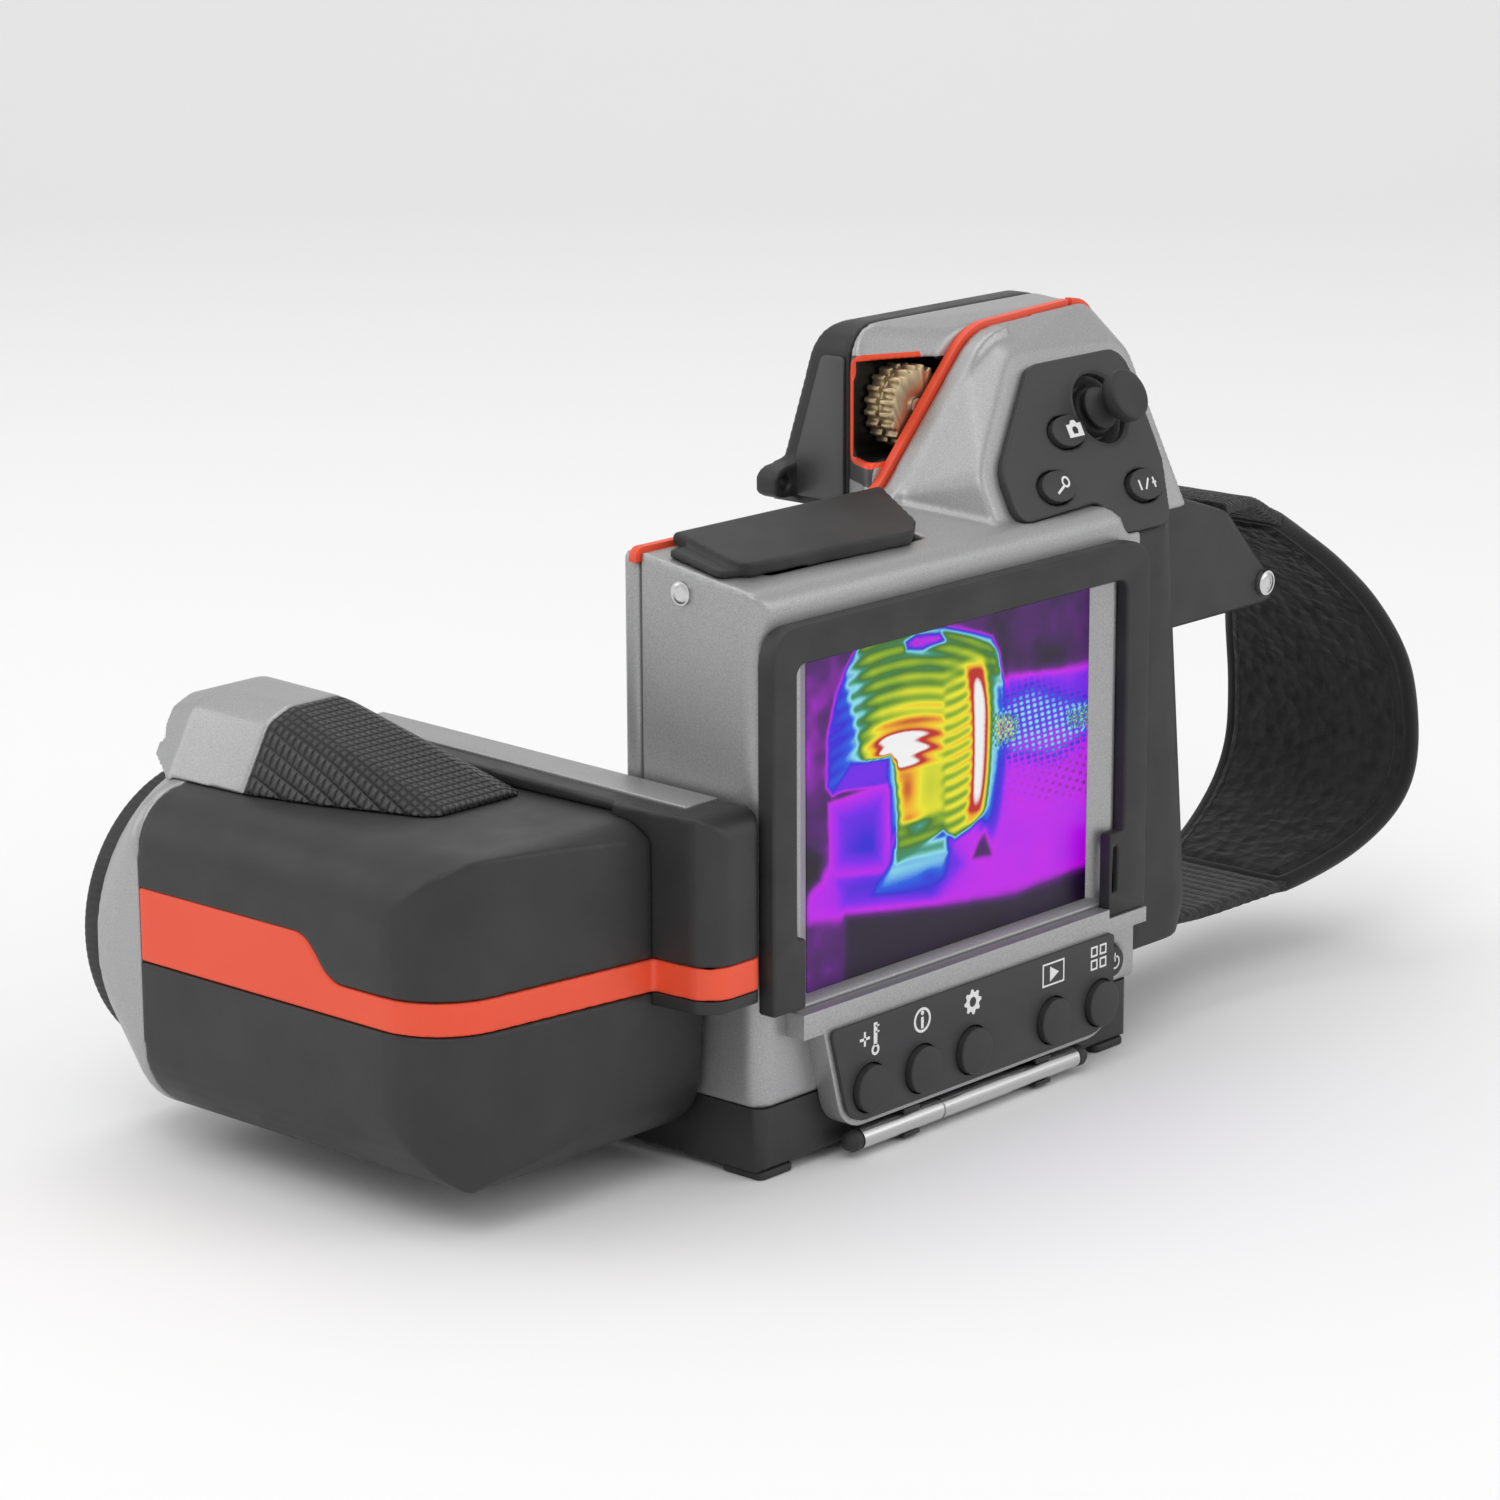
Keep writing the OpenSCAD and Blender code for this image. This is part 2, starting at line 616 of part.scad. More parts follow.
module lens_upper_shell() {
  color(rubber)
  difference() {
    lens_solid();
    block(-120, 0, -40, 80, -10, stripe_z + stripe_h);
    difference() {
      lens_solid(wall);
      block(arm_x - 16, arm_x, -20, 6, 30, 60);
    }
    yz(-120, lens_left + 1.2) polygon(rounded(label_outline));
    arm_solid();
    rod_x(-61, 0, hub_y, hub_z, hub_r);
    rod_y(50, 70, lens_x, lens_z, 23);
  }
}
module lens_lower_shell() {
  color(rubber)
  difference() {
    lens_solid();
    block(-120, 0, -40, 80, stripe_z, 80);
    lens_solid(wall);
    arm_solid();
    rod_y(50, 70, lens_x, lens_z, 23);
  }
}
module lens_stripe() {
  color(accent)
  union() {
    difference() {
      union() {
        intersection() {
          lens_solid();
          block(-120, 0, -40, 80, stripe_z, stripe_z + stripe_h);
        }
        intersection() {
          arm_solid();
          block(-120, 0, -40, -8, stripe_z, stripe_z + stripe_h);
        }
      }
      lens_solid(1.6);
      block(-60, -51.4, -19.2, 8, 0, 60);
      rod_x(-61, 0, hub_y, hub_z, hub_r);
      rod_y(50, 70, lens_x, lens_z, 23);
    }
    intersection() {
      lens_solid();
      yz(lens_left, lens_left + 1.2) polygon(rounded(label_outline));
      block(-120, 0, -40, 80, stripe_z + stripe_h, 60);
    }
  }
}
module arm_solid() {
  intersection() {
    xy(29, 60.2) polygon(rounded(arm_plan));
    yz(-63, arm_x) polygon(rounded([[-21, 29, 1], [-1, 29], [-1, 60.2], [-21, 60.2, 4]]));
  }
}
module arm_cover() {
  color(rubber)
  difference() {
    union() {
      arm_solid();
      yz(-61.5, arm_x) polygon([[-2, 58.5], [63, 58.5], [63, 61.6], [-2, 60.2]]);
    }
    block(-120, 0, -40, 80, stripe_z, stripe_z + stripe_h);
    block(-60, -51.8, -19.2, -1, 36, 58);
    rod_x(-61, 0, hub_y, hub_z, hub_r);
    yz(-57.2, arm_x + 1) polygon([[-12, 59.4], [70, 61.2], [70, 70], [-12, 70]]);
  }
}
module arm_strip() {
  color(paint)
  yz(-57, arm_x) polygon([[-11.6, 59.42], [63, 61.06], [63, 61.9], [-11.6, 60.35]]);
}
module front_ring() {
  color(paint)
  difference() {
    hull() {
      xz(63, 65) polygon(rounded(lens_face, 10));
      rod_y(73.4, 74.4, lens_x, lens_z, 26.4);
      rod_y(70, 71, lens_x, lens_z, 26.9);
    }
    rod_y(60, 80, lens_x, lens_z, 24);
  }
}
module camera_hood() {
  color(paint)
  difference() {
    hull() {
      xz(50, 51) polygon(rounded(inset(hood_face, 0.4)));
      xz(66, 67) polygon(rounded(hood_face));
      xz(73.4, 74.4) polygon(rounded(inset(hood_face, 2.4)));
    }
    block(-120, 0, 40, 63, 40, 58.5);
    hull() {
      xz(62, 65.1) polygon(rounded(lens_face, 10));
      rod_y(73.4, 75, lens_x, lens_z, 26.4);
      rod_y(70, 71, lens_x, lens_z, 26.9);
    }
    rod_y(70, 76, lens_x - 0.5, 65.2, 3.6);
    rod_y(70, 76, -86, 62.4, 2.2);
    rod_y(70, 76, -67.4, 62.4, 2.2);
    block(-61.6, 0, 40, 80, 50, 80);
  }
}
module hood_pad() {
  color(rubber)
  difference() {
    hull() {
      xz(49, 50) polygon(rounded(inset(hood_face, 0.5)));
      xz(36, 37) polygon(rounded([[-90, 58], [-61, 58], [-68.5, 66.5, 4], [-84.5, 66.5, 4]]));
      xz(17, 18) polygon([[-83.5, 58], [-62, 58], [-66, 59.4], [-80, 59.4]]);
    }
    block(-120, 0, 0, 60, 50, 58.5);
    block(-61.6, 0, 0, 80, 50, 80);
  }
}
module view_camera() {
  color("black") rod_y(70, 73.8, lens_x - 0.5, 65.2, 3.6);
}
module lamp_window() {
  color("lightyellow")
  union() {
    rod_y(70, 73.6, -86, 62.4, 2.2);
    rod_y(70, 73.6, -67.4, 62.4, 2.2);
  }
}
module lens_barrel() {
  color(rubber)
  difference() {
    union() {
      rod_y(57, 80.4, lens_x, lens_z, 23);
      rod_y(63, 74.6, lens_x, lens_z, 24);
    }
    rod_y(72, 82, lens_x, lens_z, 19.5);
    rod_y(56, 72.1, lens_x, lens_z, 16);
  }
}
module ir_lens() {
  color("slategray")
  translate([lens_x, 72, lens_z]) rotate([-90, 0, 0]) rotate_extrude($fn = 96) intersection() {
    square([19.5, 8]);
    translate([0, -44.4]) circle(r = 49, $fn = 360);
  }
}
module focus_ring() {
  color(dark)
  translate([lens_x, 0, lens_z]) difference() {
    xz(74.9, 80.2) polygon(toothed(25.2, 0.5, 60));
    rod_y(70, 84, 0, 0, 23.05);
  }
}
module detector_module() {
  color("gray")
  union() {
    block(-94, -63, 14, 44, 16, 48);
    rod_y(44, 57, lens_x, lens_z, 13);
  }
}

rear_housing();
front_housing();
seam_trim();
base_housing();
battery_door();
battery_pack();
feet();
tripod_insert();
lcd_bezel();
lcd_panel();
touch_glass();
screen_frame();
key_tray();
key_panel();
measure_key();
info_key();
setup_key();
play_key();
menu_key();
power_key();
pod_panel();
camera_key();
zoom_key();
range_key();
joystick_gimbal();
joystick_stem();
joystick_cap();
adjust_wheel();
wheel_axle();
trigger_button();
grip_cover();
strap_wing();
strap_pin();
strap_webbing();
strap_pad();
housing_screws();
pod_cap();
pod_side_panel();
connector_flap();
connector_block();
main_board();
stylus_barrel();
stylus_tips();
stylus_clips();
pivot_bush();
pivot_hub();
lens_upper_shell();
lens_lower_shell();
lens_stripe();
arm_cover();
arm_strip();
front_ring();
camera_hood();
hood_pad();
view_camera();
lamp_window();
lens_barrel();
ir_lens();
focus_ring();
detector_module();
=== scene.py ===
import bpy, bmesh, math
import numpy as np
from mathutils import Vector, Matrix, noise
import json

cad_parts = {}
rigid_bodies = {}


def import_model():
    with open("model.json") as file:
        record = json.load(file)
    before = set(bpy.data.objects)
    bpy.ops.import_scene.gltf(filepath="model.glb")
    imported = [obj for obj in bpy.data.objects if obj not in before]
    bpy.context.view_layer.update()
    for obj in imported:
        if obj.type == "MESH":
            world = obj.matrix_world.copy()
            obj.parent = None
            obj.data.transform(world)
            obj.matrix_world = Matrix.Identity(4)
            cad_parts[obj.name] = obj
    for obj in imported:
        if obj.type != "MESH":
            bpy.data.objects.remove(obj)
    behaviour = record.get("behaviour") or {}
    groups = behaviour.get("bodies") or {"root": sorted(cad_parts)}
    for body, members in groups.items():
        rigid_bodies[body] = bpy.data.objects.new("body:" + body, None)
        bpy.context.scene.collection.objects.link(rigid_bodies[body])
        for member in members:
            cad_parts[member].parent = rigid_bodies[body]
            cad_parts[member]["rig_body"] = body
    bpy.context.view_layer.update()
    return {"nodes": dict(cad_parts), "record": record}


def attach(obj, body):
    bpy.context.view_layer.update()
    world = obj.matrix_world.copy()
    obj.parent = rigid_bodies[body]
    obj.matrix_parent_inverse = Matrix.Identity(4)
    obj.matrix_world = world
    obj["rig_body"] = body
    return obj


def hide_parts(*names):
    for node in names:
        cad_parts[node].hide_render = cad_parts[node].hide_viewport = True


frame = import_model()
NODES = frame["nodes"]
BODY = {n: o["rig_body"] for n, o in NODES.items()}
SLOT = {p["node"]: p["material_slot"] for p in frame["record"]["subparts"]}
MM = 0.001
LENS_X, LENS_Z = -76.5, 32.0  # mm, the lens axis


# ---------------------------------------------------------------- materials
class Mat:
    """A principled material with a few procedural extras, all in object space."""

    def __init__(self, name, color, rough=0.5, metal=0.0, spec=0.5):
        self.m = bpy.data.materials.new(name)
        self.m.use_nodes = True
        self.t = self.m.node_tree
        self.b = self.t.nodes["Principled BSDF"]
        self.b.inputs["Base Color"].default_value = (*color, 1)
        self.b.inputs["Roughness"].default_value = rough
        self.b.inputs["Metallic"].default_value = metal
        self.b.inputs["Specular IOR Level"].default_value = spec
        self.color, self.rough = color, rough
        self.normal = None

    def node(self, kind, **inputs):
        n = self.t.nodes.new(kind)
        for k, v in inputs.items():
            n.inputs[k.replace("_", " ")].default_value = v
        return n

    def coords(self, stretch=(1, 1, 1)):
        c = self.t.nodes.new("ShaderNodeTexCoord")
        s = self.t.nodes.new("ShaderNodeMapping")
        s.inputs["Scale"].default_value = stretch
        self.t.links.new(c.outputs["Object"], s.inputs["Vector"])
        return s.outputs["Vector"]

    def noise(self, scale, detail=3, stretch=(1, 1, 1)):
        n = self.node("ShaderNodeTexNoise", Scale=scale, Detail=detail)
        self.t.links.new(self.coords(stretch), n.inputs["Vector"])
        return n.outputs["Fac"]

    def cells(self, scale, feature="F1", stretch=(1, 1, 1)):
        n = self.node("ShaderNodeTexVoronoi", Scale=scale)
        n.feature = feature
        self.t.links.new(self.coords(stretch), n.inputs["Vector"])
        return n.outputs["Distance"]

    def ramp(self, fac, low, high, to_low=0.0, to_high=1.0):
        n = self.t.nodes.new("ShaderNodeMapRange")
        for k, v in (("From Min", low), ("From Max", high), ("To Min", to_low), ("To Max", to_high)):
            n.inputs[k].default_value = v
        self.t.links.new(fac, n.inputs["Value"])
        return n.outputs["Result"]

    def calc(self, op, a, b=0.0):
        n = self.t.nodes.new("ShaderNodeMath")
        n.operation = op
        for k, v in enumerate((a, b)):
            if isinstance(v, (int, float)):
                n.inputs[k].default_value = v
            else:
                self.t.links.new(v, n.inputs[k])
        return n.outputs[0]

    def place(self):
        n = self.t.nodes.new("ShaderNodeSeparateXYZ")
        self.t.links.new(self.coords(), n.inputs[0])
        return n.outputs[0], n.outputs[1], n.outputs[2]

    def paint_over(self, fac, color):
        """Another paint where fac is 1, over what the base colour already is."""
        old = self.b.inputs["Base Color"].links[0].from_socket
        n = self.t.nodes.new("ShaderNodeMix")
        n.data_type = "RGBA"
        self.t.links.new(old, n.inputs[6])
        n.inputs[7].default_value = (*color, 1)
        self.t.links.new(fac, n.inputs[0])
        self.t.links.new(n.outputs[2], self.b.inputs["Base Color"])
        return self

    def grid(self, pitch):
        """Small pyramids in rows along X and Y."""
        x, y, _ = self.place()
        a = self.calc("ABSOLUTE", self.calc("SINE", self.calc("MULTIPLY", x, math.pi / pitch)))
        b = self.calc("ABSOLUTE", self.calc("SINE", self.calc("MULTIPLY", y, math.pi / pitch)))
        return self.calc("MINIMUM", a, b)

    def vary_color(self, fac, other):
        n = self.t.nodes.new("ShaderNodeMix")
        n.data_type = "RGBA"
        n.inputs[6].default_value = (*self.color, 1)
        n.inputs[7].default_value = (*other, 1)
        self.t.links.new(fac, n.inputs[0])
        self.t.links.new(n.outputs[2], self.b.inputs["Base Color"])
        return self

    def vary_rough(self, fac):
        self.t.links.new(fac, self.b.inputs["Roughness"])
        return self

    def bump(self, fac, strength, distance):
        n = self.node("ShaderNodeBump", Strength=strength, Distance=distance)
        self.t.links.new(fac, n.inputs["Height"])
        if self.normal:
            self.t.links.new(self.normal, n.inputs["Normal"])
        self.normal = n.outputs["Normal"]
        self.t.links.new(self.normal, self.b.inputs["Normal"])
        return self


def grey(v, tint=(1, 1, 1)):
    return tuple(v * t for t in tint)


silver = Mat("silver_paint", grey(0.33, (1, 1, 1.015)), 0.38, 0.62)
silver.vary_color(silver.ramp(silver.noise(5200, 2), 0.3, 0.7), grey(0.47))
silver.vary_rough(silver.ramp(silver.noise(60, 3), 0.3, 0.7, 0.36, 0.46))
silver.bump(silver.noise(2600, 2), 0.06, 0.0002)

charcoal = Mat("charcoal_plastic", grey(0.021, (1, 1, 1.04)), 0.46, 0, 0.45)
charcoal.vary_color(charcoal.ramp(charcoal.noise(90, 4), 0.3, 0.75), grey(0.028, (1, 1, 1.03)))
charcoal.vary_rough(charcoal.ramp(charcoal.noise(140, 3), 0.3, 0.7, 0.42, 0.52))
charcoal.bump(charcoal.noise(1900, 3), 0.16, 0.0002)

rubber = Mat("dark_rubber", grey(0.021, (1, 1, 1.03)), 0.56, 0, 0.4)
rubber.vary_color(rubber.ramp(rubber.noise(120, 4), 0.3, 0.75), grey(0.036))
rubber.bump(rubber.noise(1500, 3), 0.12, 0.0002)

panel_dark = Mat("panel_plastic", grey(0.040, (1, 1, 1.03)), 0.50, 0, 0.4)
panel_dark.bump(panel_dark.noise(2200, 2), 0.10, 0.0002)

key_dark = Mat("key_rubber", grey(0.030), 0.48, 0, 0.42)
key_dark.bump(key_dark.noise(2200, 2), 0.08, 0.0002)

accent = Mat("accent_trim", (0.82, 0.078, 0.030), 0.42, 0, 0.45)
accent.vary_color(accent.ramp(accent.noise(40, 2), 0.3, 0.7), (0.86, 0.092, 0.036))
accent.bump(accent.noise(1600, 2), 0.05, 0.0002)

steel = Mat("bright_steel", grey(0.62), 0.26, 1.0)
steel.bump(steel.noise(900, 2, (0.05, 1, 1)), 0.08, 0.0001)
pen_metal = Mat("pen_metal", grey(0.55), 0.34, 0.85)
pen_metal.bump(pen_metal.noise(900, 2, (0.04, 1, 1)), 0.06, 0.0001)
brass = Mat("brass", (0.72, 0.50, 0.20), 0.3, 1.0)
wheel_metal = Mat("wheel_metal", (0.52, 0.41, 0.25), 0.34, 0.9)
alloy = Mat("alloy", grey(0.45), 0.4, 0.9)
board_green = Mat("board_green", (0.02, 0.13, 0.06), 0.35)
battery_black = Mat("battery_black", grey(0.03), 0.5)
white_ink = Mat("white_print", grey(0.78), 0.5)
grey_panel = Mat("side_panel_grey", grey(0.075), 0.42, 0.35)
grey_panel.vary_color(grey_panel.ramp(grey_panel.noise(5200, 2), 0.3, 0.7), grey(0.10))



def front_shell_paint():
    """Silver, with the pod's left flank in grey, an accent loop round the wheel's slot, and painted shade
    inside the slot, whose walls are near black (metres).
    """
    slot_y, slot_z = 0.0110, 0.1096
    slot_half_y, slot_half_z, slot_right = 0.0034, 0.0079, 0.031
    loop_half_y, loop_half_z, loop_radius = 0.0026, 0.0071, 0.0018
    flank_right, flank_rear, flank_bottom, flank_top = 0.0235, 0.0077, 0.0978, 0.1184
    mat = Mat("front_shell_paint", grey(0.33, (1, 1, 1.015)), 0.40, 0.6)
    mat.vary_color(mat.ramp(mat.noise(5200, 2), 0.3, 0.7), grey(0.47))
    x, y, z = mat.place()
    calc = mat.calc
    off_y = calc("ABSOLUTE", calc("SUBTRACT", y, slot_y))
    off_z = calc("ABSOLUTE", calc("SUBTRACT", z, slot_z))

    def both(*parts):
        out = parts[0]
        for part in parts[1:]:
            out = calc("MULTIPLY", out, part)
        return out

    left, above = calc("LESS_THAN", x, flank_right), calc("GREATER_THAN", z, flank_bottom)
    flank = both(left, calc("GREATER_THAN", y, flank_rear), above, calc("LESS_THAN", z, flank_top))
    past_y = calc("MAXIMUM", calc("SUBTRACT", off_y, loop_half_y), 0.0)
    past_z = calc("MAXIMUM", calc("SUBTRACT", off_z, loop_half_z), 0.0)
    reach = calc("SQRT", calc("ADD", both(past_y, past_y), both(past_z, past_z)))
    loop = both(left, calc("LESS_THAN", reach, loop_radius), above)
    # Painted shade: the walls inside the wheel's slot are painted near black where the recess falls in shade.
    inner = both(calc("LESS_THAN", off_y, slot_half_y), calc("LESS_THAN", off_z, slot_half_z),
                 calc("LESS_THAN", x, slot_right))
    return mat.paint_over(flank, grey(0.085)).paint_over(loop, (0.84, 0.085, 0.033)).paint_over(inner,
        grey(0.012))


shell_paint = front_shell_paint()
gasket = Mat("gasket_black", grey(0.008), 0.6)

webbing = Mat("strap_webbing", grey(0.016), 0.85, 0, 0.2)
webbing.b.inputs["Sheen Weight"].default_value = 0.25
webbing.vary_color(webbing.ramp(webbing.noise(700, 3), 0.35, 0.7), grey(0.040))
webbing.bump(webbing.noise(1400, 2), 0.5, 0.0004)

pad_cloth = Mat("strap_pad_cloth", grey(0.011), 0.80, 0, 0.25)
pad_cloth.b.inputs["Sheen Weight"].default_value = 0.10
pad_cloth.vary_color(pad_cloth.ramp(pad_cloth.cells(330), 0.1, 0.6), grey(0.022))
pad_cloth.bump(pad_cloth.cells(420), 0.8, 0.0007)
pad_cloth.bump(pad_cloth.noise(150, 5), 0.7, 0.0012)

binding = Mat("strap_binding", grey(0.010), 0.72, 0, 0.25)
binding.b.inputs["Sheen Weight"].default_value = 0.2
binding.bump(binding.noise(1500, 2), 0.4, 0.0003)

pad_grip = Mat("knurled_rubber", grey(0.012), 0.40, 0, 0.5)
# Colour follows the knurl: the grooves are painted darker and the pyramid tops lighter, as painted shade and
# painted highlight on the relief.
pad_grip.vary_color(pad_grip.ramp(pad_grip.grid(0.0013), 0.25, 0.75), grey(0.045))
pad_grip.bump(pad_grip.grid(0.0013), 1.0, 0.0006)

germanium = Mat("coated_lens", (0.10, 0.085, 0.13), 0.06, 0.9)
germanium.b.inputs["Coat Weight"].default_value = 1.0
germanium.b.inputs["Coat Roughness"].default_value = 0.02
lens_glass = Mat("camera_glass", (0.008, 0.008, 0.02), 0.04, 0, 0.9)
lens_glass.b.inputs["Coat Weight"].default_value = 1.0
lamp_glass = Mat("lamp_glass", (0.70, 0.70, 0.62), 0.12, 0.2, 0.6)

glass = bpy.data.materials.new("clear_cover")
glass.use_nodes = True
_t = glass.node_tree
_t.nodes.clear()
_out = _t.nodes.new("ShaderNodeOutputMaterial")
_mix = _t.nodes.new("ShaderNodeMixShader")
_clear = _t.nodes.new("ShaderNodeBsdfTransparent")
_gloss = _t.nodes.new("ShaderNodeBsdfGlossy")
_gloss.inputs["Roughness"].default_value = 0.09
_mix.inputs[0].default_value = 0.035
_t.links.new(_clear.outputs[0], _mix.inputs[1])
_t.links.new(_gloss.outputs[0], _mix.inputs[2])
_t.links.new(_mix.outputs[0], _out.inputs[0])


class Plain:
    def __init__(self, m):
        self.m = m


FINISH = {
    "silver_paint": silver, "charcoal": charcoal, "dark_rubber": rubber, "accent": accent,
    "key_plastic": key_dark, "display": gasket, "touch_glass": Plain(glass), "steel": steel,
    "brass_insert": brass, "wheel_metal": wheel_metal, "battery": battery_black, "webbing": webbing,
    "pad_cloth": pad_cloth, "board": board_green, "lens_germanium": germanium, "lens_glass": lens_glass,
    "lamp_window": lamp_glass, "alloy": alloy,
}


# ---------------------------------------------------------------- building helpers
def finish_piece(obj, body, nodes=()):
    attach(obj, body)
    if nodes:
        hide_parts(*nodes)
    return obj


def shade(obj, angle=35):
    obj.data.shade_smooth()
    obj.data.set_sharp_from_angle(angle=math.radians(angle))
    return obj


def make(name, verts, faces, mat, angle=35, unit=MM):
    me = bpy.data.meshes.new(name)
    me.from_pydata([tuple(c * unit for c in v) for v in verts], [], faces)
    me.validate()
    me.materials.append(mat.m)
    obj = bpy.data.objects.new(name, me)
    bpy.context.scene.collection.objects.link(obj)
    return shade(obj, angle)


def bake(obj):
    dg = bpy.context.evaluated_depsgraph_get()
    me = bpy.data.meshes.new_from_object(obj.evaluated_get(dg))
    obj.modifiers.clear()
    obj.data = me
    return obj


def clean_copy(node, name, mat, flat=0.6):
    me = NODES[node].data.copy()
    me.name = name
    obj = bpy.data.objects.new(name, me)
    bpy.context.scene.collection.objects.link(obj)
    bm = bmesh.new()
    bm.from_mesh(me)
    bmesh.ops.remove_doubles(bm, verts=bm.verts, dist=2e-6)
    if flat:
        bmesh.ops.dissolve_limit(bm, angle_limit=math.radians(flat), verts=bm.verts, edges=bm.edges)
    bm.to_mesh(me)
    bm.free()
    me.materials.clear()
    me.materials.append(mat.m)
    return obj


def bevelled(node, width, segments=3, mat=None, angle=28, name=None):
    """The CAD node with its sharp edges rounded."""
    mat = mat or FINISH[SLOT[node]]
    obj = clean_copy(node, name or node + "_skin", mat)
    b = obj.modifiers.new("b", "BEVEL")
    b.width, b.segments, b.limit_method = width * MM, segments, "ANGLE"
    b.angle_limit = math.radians(angle)
    b.miter_outer = "MITER_ARC"
    b.harden_normals = False
    bake(obj)
    shade(obj, 40)
    return finish_piece(obj, BODY[node], [node])


def softened(node, voxel=0.5, passes=4, keep=0.3, mat=None, name=None):
    """The CAD node remeshed and smoothed, for moulded shapes with soft edges everywhere."""
    mat = mat or FINISH[SLOT[node]]
    obj = clean_copy(node, name or node + "_skin", mat, 0)
    r = obj.modifiers.new("r", "REMESH")
    r.mode, r.voxel_size = "VOXEL", voxel * MM
    s = obj.modifiers.new("s", "SMOOTH")
    s.factor, s.iterations = 0.5, passes
    if keep < 1:
        d = obj.modifiers.new("d", "DECIMATE")
        d.ratio = keep
    bake(obj)
    obj.data.shade_smooth()
    if not obj.data.materials:
        obj.data.materials.append(mat.m)
    return finish_piece(obj, BODY[node], [node])


def fine_ring():
    """The focus ring with rounded edges and a fine straight knurl."""
    n, groups = 480, 120
    prof = [(23.06, 75.1, 0), (24.3, 74.95, 0), (24.75, 75.3, 0.2), (24.95, 75.9, 1), (24.95, 78.6, 1),
            (24.7, 79.3, 0.2), (24.1, 79.9, 0), (23.5, 80.1, 0), (23.06, 79.9, 0)]
    verts, faces = [], []
    for k in range(n):
        a = 2 * math.pi * k / n
        dip = 0.28 * (0.5 - 0.5 * math.cos(a * groups))
        for r, y, w in prof:
            r -= dip * w
            verts.append((LENS_X + r * math.cos(a), y, LENS_Z + r * math.sin(a)))
    m = len(prof)
    for k in range(n):
        for q in range(m):
            faces.append((k * m + q, k * m + (q + 1) % m, (k + 1) % n * m + (q + 1) % m, (k + 1) % n * m + q))
    obj = make("focus_ring_skin", verts, faces, rubber, 40)
    return finish_piece(obj, "focus_ring", ["focus_ring"])


def lathe(name, profile, mat, centre, axis, body, nodes=(), steps=64, angle=35):
    """profile: (radius, height) pairs along axis, in mm."""
    z = Vector(axis).normalized()
    x = z.orthogonal().normalized()
    y = z.cross(x)
    c = Vector(centre)
    verts, faces = [], []
    for r, h in profile:
        for i in range(steps):
            a = 2 * math.pi * i / steps
            verts.append(c + z * h + (x * math.cos(a) + y * math.sin(a)) * r)
    n = len(profile)
    for k in range(n - 1):
        for i in range(steps):
            j = (i + 1) % steps
            faces.append((k * steps + i, k * steps + j, (k + 1) * steps + j, (k + 1) * steps + i))
    for k, flip in ((0, True), (n - 1, False)):
        if profile[k][0] > 1e-6 and profile[0] != profile[-1]:
            ring = [k * steps + i for i in range(steps)]
            faces.append(tuple(reversed(ring)) if flip else tuple(ring))
    obj = make(name, verts, faces, mat, angle)
    bm = bmesh.new()
    bm.from_mesh(obj.data)
    bmesh.ops.remove_doubles(bm, verts=bm.verts, dist=1e-7)
    bmesh.ops.recalc_face_normals(bm, faces=bm.faces)
    bm.to_mesh(obj.data)
    bm.free()
    shade(obj, angle)
    return finish_piece(obj, body, nodes)


def plate(name, outlines, place, mat, thick=0.08, holes=None):
    """Thin printed shape: outlines are lists of (u, v) in mm, place maps (u, v, height) to a point in mm."""
    verts, faces = [], []
    for line in outlines:
        if line and isinstance(line[0], str):  # a band between two loops with the same point count
            outer, inner = line[1], line[2]
            n, base = len(outer), len(verts)
            for h in (thick, 0):
                verts += [place(u, v, h) for u, v in outer] + [place(u, v, h) for u, v in inner]
            for i in range(n):
                j = (i + 1) % n
                a, b = base, base + 2 * n
                faces += [(a + i, a + j, a + n + j, a + n + i), (b + i, b + n + i, b + n + j, b + j),
                          (a + i, b + i, b + j, a + j), (a + n + i, a + n + j, b + n + j, b + n + i)]
            continue
        n, base = len(line), len(verts)
        verts += [place(u, v, thick) for u, v in line] + [place(u, v, 0) for u, v in line]
        faces += [tuple(range(base, base + n)), tuple(reversed(range(base + n, base + 2 * n)))]
        faces += [(base + i, base + n + i, base + n + (i + 1) % n, base + (i + 1) % n) for i in range(n)]
    return make(name, verts, faces, mat, 30)


def circle(u, v, r, n=24, start=0.0):
    return [(u + r * math.cos(2 * math.pi * i / n + start),
             v + r * math.sin(2 * math.pi * i / n + start)) for i in range(n)]


def rect(u0, v0, u1, v1):
    return [(u0, v0), (u1, v0), (u1, v1), (u0, v1)]


def bar(u0, v0, u1, v1, w):
    d = Vector((u1 - u0, v1 - v0)).normalized() * w / 2
    return [(u0 + d.y, v0 - d.x), (u1 + d.y, v1 - d.x), (u1 - d.y, v1 + d.x), (u0 - d.y, v0 + d.x)]


def ring_band(u, v, r0, r1, n=28):
    return ["band", circle(u, v, r0, n), circle(u, v, r1, n)]


def frame_band(u0, v0, u1, v1, w):
    return ["band", rect(u0, v0, u1, v1), rect(u0 + w, v0 + w, u1 - w, v1 - w)]


